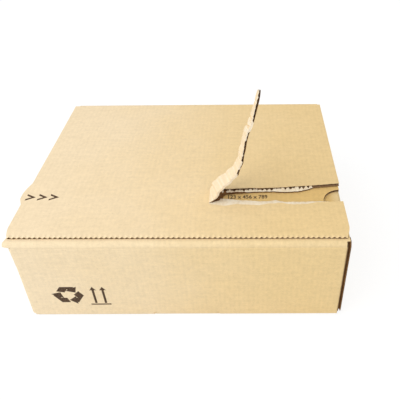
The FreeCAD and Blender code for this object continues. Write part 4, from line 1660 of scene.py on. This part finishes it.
@dataclass
class LiftedStrip:
    """Torn strip of crushed board that stands up from its root, bent at its creases.

    Each crease is a share of the strip's length, the heading of its front edge above level in
    degrees, and where its rear edge lies from the front edge along X and Z.
    """

    sizes: CartonSizes
    root: float = TEAR_ROOT
    tear_front: float = TEAR_FRONT
    width: float = 21.0
    narrowing: float = 3.0
    length: float = 138.6
    torn_lines: list = field(default_factory=list)
    root_rear: tuple = (-0.7, -0.4)
    tip_share: float = 0.09
    tip_heading: float = 80.0
    tip_steps: int = 6
    tip_left: float = 0.16
    creases: tuple = (
        (0.035, 36.0, -4.5, -1.0), (0.05, 58.0, -5.5, -2.2), (0.04, 74.0, -7.0, -3.0),
        (0.045, 46.0, -7.0, -3.6), (0.03, 62.0, -6.0, -3.2), (0.045, 37.0, -5.0, -3.0),
        (0.035, 64.0, -4.5, -3.3), (0.045, 44.0, -4.0, -3.5), (0.055, 76.0, -3.4, -5.0),
        (0.055, 68.0, -3.2, -6.0), (0.06, 84.0, -3.6, -7.2), (0.06, 78.0, -3.4, -8.0),
        (0.07, 83.0, -2.6, -8.3), (0.06, 76.5, -3.0, -8.5), (0.055, 67.0, -3.0, -8.0),
        (0.055, 78.0, -2.0, -8.2), (0.115, 78.0, -1.2, -8.5),
    )
    crease_half: float = 1.4
    easing: float = 1.2
    crack_low: float = 0.66
    crack_high: float = 0.80
    wrap: tuple = (
        (0.0, 0.1), (0.04, 0.15), (0.06, 0.8), (0.09, 1.0), (0.32, 1.0), (0.34, 0.15), (0.37, 0.15),
        (0.385, 0.9), (0.4, 0.6), (0.445, 0.6), (0.455, 0.1), (0.485, 0.1), (0.497, 0.6), (0.51, 0.3),
        (0.545, 0.2), (0.556, 0.0), (0.605, 0.0), (0.62, 0.5), (0.685, 0.5), (0.7, 1.0), (0.765, 1.0),
        (0.785, 0.3), (0.9, 0.15), (1.0, 0.35),
    )
    crushed: float = 2.2
    slits: tuple = ((0.705, 0.35), (0.735, -0.2), (0.755, 0.45), (0.785, 0.15))
    edge_size: float = 4.0
    edge_seeds: tuple = (61.0, 63.0, 65.0)
    buckling: Uneven = Uneven(9.0, 51.0)
    cracking: Uneven = Uneven(3.5, 53.0)
    wrapping: Uneven = Uneven(2.6, 67.0)

    def sections(self) -> tuple[Array, Array, Array]:
        """Distances along the strip and the front and rear points of its outer face there."""
        s = self.sizes
        depth = self.width - self.narrowing
        front = np.array([self.root, self.tear_front - self.narrowing / 2, s.height])
        rear = front + np.array([self.root_rear[0], self.width, self.root_rear[1]])
        places, fronts, rears = [0.0], [front], [rear]
        for share, heading, rear_x, rear_z in self.creases:
            angle = math.radians(heading)
            front = front + np.array([math.cos(angle), 0, math.sin(angle)]) * share * self.length
            places.append(places[-1] + share * self.length)
            fronts.append(front)
            rears.append(front + np.array([rear_x, depth, rear_z]))
        angle = math.radians(self.tip_heading)
        reach = np.array([math.cos(angle), 0, math.sin(angle)]) * self.tip_share * self.length
        last_front, last_rear, last = fronts[-1], rears[-1], places[-1]
        middle = (last_front + last_rear) / 2
        for index in range(1, self.tip_steps + 1):
            turn = math.pi / 2 * index / self.tip_steps
            kept = self.tip_left + (1 - self.tip_left) * math.cos(turn)
            along = reach * math.sin(turn)
            places.append(last + self.tip_share * self.length * math.sin(turn))
            fronts.append(middle + (last_front - middle) * kept + along)
            rears.append(middle + (last_rear - middle) * kept + along)
        return np.array(places), np.array(fronts), np.array(rears)

    def eased(self, distance: Array, places: Array, points: Array) -> Array:
        """Line through points that is slightly rounded at them."""
        lines = []
        for shift in (-self.easing, 0.0, self.easing):
            moved = np.clip(distance + shift, places[0], places[-1])
            lines.append(grid(*(np.interp(moved, places, points[:, k]) for k in range(3))))
        soft = sum(lines) / len(lines)
        ends = np.minimum(distance - places[0], places[-1] - distance) / self.easing
        keep = np.clip(1 - ends, 0, 1)[:, None]
        return soft * (1 - keep) + lines[1] * keep

    def stretch(self, columns: Array, low: Array, high: Array, count: int) -> Stretch:
        """Stretch of the strip between two shares of its width at each column."""
        places, fronts, rears = self.sections()
        front = self.eased(columns, places, fronts)
        rear = self.eased(columns, places, rears)
        share = low[:, None] + (high - low)[:, None] * np.linspace(0, 1, count)
        line = front[:, None] + (rear - front)[:, None] * share[..., None]
        along = np.gradient(line, columns, axis=0)
        across = (rear - front)[:, None] + 0 * line
        outward = np.cross(along, across)
        outward /= np.linalg.norm(outward, axis=-1, keepdims=True)
        place = spread(columns, count)
        line = line + outward * (0.16 * self.buckling.over(place, share * self.width))[..., None]
        flat = grid(place, share * self.width)
        crack = band(place / self.length, (self.crack_low + self.crack_high) / 2,
                     (self.crack_high - self.crack_low) / 2)
        crack = crack * (self.cracking.over(place, share * self.width) > -0.1)
        folds = sum(band(place, float(where), self.crease_half) for where in places[1:-self.tip_steps])
        slits = sum(band(place - self.length * (at + slope * 0.08 * share), 0.0, 0.9)
                    for at, slope in self.slits)
        # Painted shade: subtracting the slits paints the pressed slits darker.
        wear_and_shade = np.clip(crack * 1.3 + folds * 0.7, 0, 1) - slits
        pressed = 0.3 * folds + 0.5 * crack * np.clip(1 - share * 2.5, 0, 1) + 0.8 * slits
        return Stretch(line, outward, flat, wear_and_shade, pressed)

    def build(self) -> None:
        """Build the strip."""
        s = self.sizes
        columns = even(0.0, self.length - 0.2, s.pitch / 8)
        thin = replace(s, board=self.crushed)
        piece = BoardPiece("lifted_strip", thin, FlutingTree(thin, SHADE_DARKENED_MEDIUM), CREASED_AND_LIT_STRIP_LINER)
        edges = []
        for seed in self.edge_seeds:
            low = 0.03 + 0.022 * ragged(columns, self.edge_size, seed)
            high = 0.97 + 0.03 * ragged(columns, self.edge_size, seed + 1.0)
            edges.append((low, high))
        piece.add_outer(self.stretch(columns, *edges[0], 14), Edge.PALE)
        piece.add_medium(self.stretch(columns, *edges[1], 8))
        piece.add_inner(self.stretch(columns, *edges[2], 10))
        self.wrap_edge(piece, columns, np.minimum.reduce([low for low, _ in edges]))
        piece.build()

    def wrap_edge(self, piece: BoardPiece, columns: Array, low: Array) -> None:
        """Torn outer liner that laps over the front edge, more in some places than in others."""
        edge = self.stretch(columns, low, low + 0.02, 2)
        start, outward = edge.outer[:, 0], edge.outward[:, 0]
        ahead = start - edge.outer[:, 1]
        ahead = ahead / np.linalg.norm(ahead, axis=-1, keepdims=True)
        shares, covers = zip(*self.wrap)
        cover = np.interp(columns / self.length, shares, covers)
        cover = cover + 0.35 * (1.1 - cover) * self.wrapping.torn(columns)
        down = np.clip(cover, 0.02, 1)[:, None] * np.linspace(0, 1, 6) * self.crushed
        near = start[:, None] - outward[:, None] * down[..., None] + 0.3 * ahead[:, None]
        far = near - 0.25 * ahead[:, None]
        flat = grid(spread(columns, 6), -down)
        wear_and_shade = np.full(down.shape, 0.6)
        piece.outer.slab(near, far, flat, wear_and_shade, Edge.TORN)
        self.torn_lines = [near[:, -1]]


class Fibres(Growth):
    """Geometry Nodes that scatter loose paper fibres over a torn edge."""

    PER_SQUARE_METRE = 4e6
    LENGTH = 1.1
    RADIUS = 0.035
    SEED = 7
    RIBBON = 0.3

    def __init__(self, finish: Finish) -> None:
        """Build the tree."""
        super().__init__("fibres", {"Density": self.PER_SQUARE_METRE, "Length": self.LENGTH * MM,
                                    "Radius": self.RADIUS * MM, "Seed": self.SEED}, finish)

    def grow(self, graph: Graph, inputs: dict[str, Signal]) -> Signal:
        """Put a thin cone on every point of the scatter."""
        seed = inputs["Seed"]
        points = graph.out("GeometryNodeDistributePointsOnFaces", {"distribute_method": "RANDOM"},
                           {"Mesh": inputs["Geometry"], "Density": inputs["Density"], "Seed": seed},
                           "Points")
        fibre = graph.out("GeometryNodeMeshCone", None, {
            "Vertices": 4, "Radius Top": 0.0, "Radius Bottom": inputs["Radius"], "Depth": inputs["Length"]})
        turn = graph.out("FunctionNodeRandomValue", {"data_type": "FLOAT_VECTOR"}, {
            "Min": (-1.5, -1.5, 0.0), "Max": (1.5, 1.5, 6.28), "Seed": seed})
        size = graph.out("FunctionNodeRandomValue", {"data_type": "FLOAT"},
                         {2: 0.35, 3: 1.25, "Seed": seed}, 1)
        return graph.out("GeometryNodeInstanceOnPoints", None, {
            "Points": points, "Instance": fibre, "Rotation": turn, "Scale": size})

    def build(self, name: str, edges: list[Array]) -> bpy.types.Object:
        """Scatter fibres along lines of points.

        Args:
            name: Name of the piece.
            edges: Lines of points, (count, 3), in mm.

        Returns:
            The fibres as a plain mesh object.
        """
        points, faces, count = [], [], 0
        for line in edges:
            a = np.arange(len(line)) + count
            b = a + len(line)
            faces.append(quads(a[:-1], a[1:], b[1:], b[:-1]))
            points += [line, line - np.array([0.0, 0.0, self.RIBBON])]
            count += 2 * len(line)
        return self.grown(name, mesh_of(name, points, faces))


@dataclass
class Print:
    """Marks printed on the lid, the front wall and the inner flap, each a thin film of ink."""

    sizes: CartonSizes
    lid: Lid
    walls: Walls
    film: float = 0.05
    lift: float = 0.03
    chevron_points: tuple = (-146.8, -135.0, -123.6)
    chevron_run: float = 9.4
    chevron_half: float = 4.6
    chevron_y: float = -56.8
    chevron_stroke: float = 2.0
    loop_box: tuple = (-129.6, -98.8, 20.4, 47.2)
    loop_apex: float = 14.4
    loop_half: float = 3.2
    loop_head: float = 5.6
    loop_tail: float = 12.6
    loop_chamfer: float = 5.6
    loop_base: float = 6.6
    loop_tip: float = 12.8
    loop_nick: float = 2.0
    arrow_places: tuple = (-88.6, -79.0)
    arrow_low: float = 21.4
    arrow_high: float = 46.8
    arrow_stroke: float = 2.3
    arrow_head: float = 6.6
    bar: tuple = (-94.0, -74.0, 18.7, 20.5)
    digits: str = "123 x 456 x 789"
    digits_box: tuple = (43.0, 82.0, -57.4, -52.0)
    digits_bold: float = 0.022

    def on_lid(self, a: float, b: float, up: float) -> Vector:
        """Point over the lid at (x, y)."""
        here = np.array([[a]]), np.array([[b]])
        return Vector((a, b, float(self.lid.height(*here)[0, 0]) + up))

    def on_front(self, a: float, b: float, up: float) -> Vector:
        """Point ahead of the front wall at (x, z)."""
        panel = self.walls.panels[Side.FRONT]
        wall = panel.profile.legs[2]
        along = wall.start + wall.point[1] - b
        points, outward = panel.surface(np.array([[a]]), np.array([[along]]))
        return Vector(points[0, 0]) + Vector(outward[0, 0]) * up

    def on_flap(self, a: float, b: float, up: float) -> Vector:
        """Point over the inner flap at (x, y)."""
        return Vector((a, b, self.sizes.flap_top + up))

    def mark(self, name: str, outlines: list[list[tuple[float, float]]],
             place: Callable[[float, float, float], Vector]) -> None:
        """Make one piece of ink from flat outlines."""
        vertices, faces = [], []
        for outline in outlines:
            first = len(vertices)
            count = len(outline)
            vertices += [place(a, b, self.lift) for a, b in outline]
            vertices += [place(a, b, -self.film) for a, b in outline]
            faces.append([first + k for k in range(count)])
            faces.append([first + count + k for k in reversed(range(count))])
            for k in range(count):
                after = (k + 1) % count
                faces.append([first + after, first + k, first + count + k, first + count + after])
        mesh = bpy.data.meshes.new(name)
        mesh.from_pydata([tuple(v * MM) for v in vertices], [], faces)
        self.finish(name, mesh)

    def finish(self, name: str, mesh: bpy.types.Mesh) -> None:
        mesh.materials.append(INK.material())
        made = placed(name, mesh)
        outward_faces(mesh)
        declare(made)

    def chevrons(self) -> None:
        """Three open arrowheads on the lid that point along the strip."""
        outlines = []
        for tip in self.chevron_points:
            slope = math.atan2(self.chevron_half, self.chevron_run)
            inner = self.chevron_stroke / math.sin(slope)
            end = self.chevron_stroke / math.cos(slope)
            back = tip - self.chevron_run
            y = self.chevron_y
            half = self.chevron_half
            outlines.append([(tip, y), (back, y + half), (back, y + half - end), (tip - inner, y),
                             (back, y - half + end), (back, y - half)])
        self.mark("lid_chevrons", outlines, self.on_lid)

    def loop(self) -> None:
        """Loop of three bent arrows on the front wall."""
        outlines = [self.bent_arrow(120.0 * index) for index in range(3)]
        points = np.array([point for outline in outlines for point in outline])
        left, right, bottom, top = self.loop_box
        low, high = points.min(axis=0), points.max(axis=0)
        scale = np.array([right - left, top - bottom]) / (high - low)
        fitted = [[tuple(np.array([left, bottom]) + (np.array(point) - low) * scale) for point in outline]
                  for outline in outlines]
        self.mark("front_loop", fitted, self.on_front)

    def bent_arrow(self, turned: float) -> list[tuple[float, float]]:
        """Outline of one arrow that bends round a corner of the loop."""
        half, head, apex = self.loop_half, self.loop_head, self.loop_apex
        chamfer, base = self.loop_chamfer, self.loop_base

        def on(side: int, along: float, off: float) -> tuple[float, float]:
            """Point beside one of the two slopes that meet at the apex."""
            slope = math.radians(60)
            x = side * (along * math.cos(slope) + off * math.sin(slope))
            z = apex - along * math.sin(slope) + off * math.cos(slope)
            return x, z

        shape = [on(-1, self.loop_tail, half), on(-1, chamfer, half), on(1, chamfer, half),
                 on(1, base, half), on(1, base, head), on(1, self.loop_tip, 0), on(1, base, -head),
                 on(1, base, -half), (0.0, apex - 2 * half), on(-1, self.loop_tail - self.loop_nick, -half)]
        angle = math.radians(turned)
        cos, sin = math.cos(angle), math.sin(angle)
        return [(x * cos - z * sin, x * sin + z * cos) for x, z in reversed(shape)]

    def arrows(self) -> None:
        """Two upright arrows over a bar on the front wall."""
        half = self.arrow_stroke / 2
        wide = self.arrow_head / 2
        outlines = []
        neck = self.arrow_high - self.arrow_head * 0.75
        for x in self.arrow_places:
            outlines.append([(x - half, self.arrow_low), (x + half, self.arrow_low), (x + half, neck),
                             (x + wide, neck - 0.5), (x, self.arrow_high), (x - wide, neck - 0.5),
                             (x - half, neck)])
        low, high, bottom, top = self.bar
        outlines.append([(low, bottom), (high, bottom), (high, top), (low, top)])
        self.mark("front_arrows", outlines, self.on_front)

    def numbers(self) -> None:
        """Plain numbers on the inner flap."""
        low, high, front, back = self.digits_box
        curve = bpy.data.curves.new("numbers", "FONT")
        curve.body = self.digits
        curve.extrude = self.film
        curve.offset = self.digits_bold
        curve.resolution_u = 3
        source = placed("numbers", curve)
        evaluated = source.evaluated_get(bpy.context.evaluated_depsgraph_get())
        mesh = bpy.data.meshes.new_from_object(evaluated)
        bpy.data.objects.remove(source)
        mesh.materials.clear()
        points = np.empty(len(mesh.vertices) * 3)
        mesh.vertices.foreach_get("co", points)
        points = points.reshape(-1, 3)
        lowest, highest = points.min(axis=0), points.max(axis=0)
        share = (points - lowest) / (highest - lowest)
        for vertex, (a, b, c) in zip(mesh.vertices, share):
            up = self.lift if c > 0.5 else -self.film
            vertex.co = self.on_flap(low + (high - low) * a, front + (back - front) * b, up) * MM
        self.finish("flap_numbers", mesh)

    def build(self) -> None:
        """Print every mark."""
        self.chevrons()
        self.loop()
        self.arrows()
        self.numbers()


def outward_faces(mesh: bpy.types.Mesh) -> None:
    """Merge a mesh's doubles and turn the faces of its closed shells outwards."""
    work = bmesh.new()
    work.from_mesh(mesh)
    bmesh.ops.remove_doubles(work, verts=work.verts, dist=1e-7)
    bmesh.ops.recalc_face_normals(work, faces=work.faces)
    work.to_mesh(mesh)
    work.free()


@dataclass
class Adhesives:
    """The hidden pads of adhesive, which keep the shape they have in the frame."""

    finish: Finish = GLUE

    def build(self) -> None:
        """Dress the frame's pads."""
        for name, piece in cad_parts.items():
            if name == CARTON_NODE:
                continue
            piece.data.materials.clear()
            piece.data.materials.append(self.finish.material())
            log.info("%s: dressed", name)


@dataclass(frozen=True)
class Background(Finish):
    """White floor or backdrop that a camera sees white and that keeps a soft shadow.

    Attributes:
        paint: Colour under the lamps.
        seen: How much of what the camera sees is plain white.
        glow: Strength of that white.
    """

    name: str = "white floor"
    paint: tuple = rgba(0.86, 0.86, 0.86)
    seen: float = 0.72
    glow: float = 1.12

    def shade(self, graph: Graph) -> Signal:
        """Add the nodes of the background."""
        paths = graph.node("ShaderNodeLightPath")
        plain = graph.out("ShaderNodeBsdfDiffuse", None, {"Color": self.paint})
        white = graph.out("ShaderNodeEmission", None, {"Color": rgba(1, 1, 1), "Strength": self.glow})
        camera, glossy, through = (Signal(graph, paths.outputs[f"Is {ray} Ray"])
                                   for ray in ("Camera", "Glossy", "Transmission"))
        factor = (camera + glossy + through).between(0.0, 1.0) * self.seen
        return graph.out("ShaderNodeMixShader", None, {0: factor, 1: plain, 2: white})


@dataclass(frozen=True)
class Lamp:
    """Square lamp that faces the carton.

    Attributes:
        name: Its name.
        place: Where it stands, in metres.
        size: Its side, in metres.
        power: Its power in watts.
        colour: Its colour.
        target: Point that it faces, in metres.
    """

    name: str
    place: tuple
    size: float
    power: float
    colour: tuple
    target: tuple = (0.0, 0.0, 0.06)

    def build(self) -> None:
        """Light it."""
        data = bpy.data.lights.new(self.name, "AREA")
        data.color = self.colour
        data.size = self.size
        data.energy = self.power
        made = placed(self.name, data)
        made.location = self.place
        aim = Vector(self.target) - Vector(self.place)
        made.rotation_euler = aim.to_track_quat("-Z", "Y").to_euler()


LAMPS = (
    Lamp("key_lamp", (-1.0, -0.7, 1.3), 1.8, 18.0, (1.0, 0.965, 0.9)),
    Lamp("fill_lamp", (0.1, -1.6, 0.6), 1.6, 2.5, (0.34, 0.62, 1.0)),
)


@dataclass
class Studio:
    """Floor, lamps and world."""

    floor_half: float = 4.0
    world_strength: float = 0.72

    def build(self) -> None:
        """Build the studio."""
        scene = bpy.context.scene
        scene.view_settings.view_transform = "Standard"
        self.floor()
        self.world(scene)
        for lamp in LAMPS:
            lamp.build()

    def floor(self) -> None:
        """Large plain floor under the carton."""
        half = self.floor_half
        mesh = bpy.data.meshes.new("floor")
        mesh.from_pydata([(-half, -half, 0), (half, -half, 0), (half, half, 0), (-half, half, 0)], [],
                         [(0, 1, 2, 3)])
        mesh.materials.append(Background().material())
        placed("floor", mesh)

    def world(self, scene: bpy.types.Scene) -> None:
        """Even light from all sides that a camera sees white."""
        world = bpy.data.worlds.new("studio")
        world.use_nodes = True
        scene.world = world
        graph = Graph(world.node_tree)
        paths = graph.node("ShaderNodeLightPath")
        camera, through = (Signal(graph, paths.outputs[f"Is {ray} Ray"])
                           for ray in ("Camera", "Transmission"))
        seen = camera + through
        strength = self.world_strength + seen.between(0.0, 1.0) * (1.0 - self.world_strength)
        light = graph.out("ShaderNodeBackground", None, {"Color": rgba(1, 1, 1), "Strength": strength})
        graph.node("ShaderNodeOutputWorld", None, {"Surface": light})


@dataclass
class PhotoCamera:
    """Camera at the photograph's place, from the carton's corners in it.

    Attributes:
        place: Where it stands, in mm.
        pitch: How far it looks down, in degrees.
        yaw: How far it turns to the right.
        roll: How far it leans.
        focal: Focal length in pixels.
        centre: Pixel on its optical axis.
        frame_side: Side of the square picture in pixels.
        sensor: Width of the sensor in mm.
    """

    place: tuple = (64.085, -404.399, 435.05)
    pitch: float = 35.339
    yaw: float = -0.582
    roll: float = -0.734
    focal: float = 479.269
    centre: tuple = (244.966, 130.925)
    frame_side: float = 400.0
    sensor: float = 36.0

    def build(self) -> None:
        """Make it the scene's camera."""
        pitch, yaw, roll = (math.radians(angle) for angle in (self.pitch, self.yaw, self.roll))
        level = math.cos(pitch)
        forward = Vector((math.sin(yaw) * level, math.cos(yaw) * level, -math.sin(pitch)))
        right = Vector((math.cos(yaw), -math.sin(yaw), 0))
        up = right.cross(forward)
        leaned = right * math.cos(roll) + up * math.sin(roll)
        upright = up * math.cos(roll) - right * math.sin(roll)
        turn = Matrix((leaned, upright, -forward)).transposed()
        data = bpy.data.cameras.new("camera")
        data.sensor_width = self.sensor
        data.lens = self.focal / self.frame_side * self.sensor
        data.shift_x = (self.frame_side / 2 - self.centre[0]) / self.frame_side
        data.shift_y = (self.centre[1] - self.frame_side / 2) / self.frame_side
        data.clip_start = 0.01
        made = placed("camera", data)
        made.matrix_world = Matrix.Translation(Vector(self.place) * MM) @ turn.to_4x4()
        bpy.context.scene.camera = made


def main() -> None:
    """Build the camera, the studio and every piece of the carton."""
    logging.basicConfig(level=logging.INFO, format="%(name)s: %(message)s")
    PhotoCamera().build()
    Studio().build()
    fluting = FlutingTree(SIZES, SHADE_DARKENED_MEDIUM)
    walls = Walls(SIZES, fluting)
    walls.build()
    lid = Lid(SIZES, fluting)
    lid.build()
    strip = LiftedStrip(SIZES)
    strip.build()
    declare(Fibres(TORN).build("torn_fibres", lid.torn_lines + strip.torn_lines))
    Print(SIZES, lid, walls).build()
    Adhesives().build()


if __name__ == "__main__":
    main()
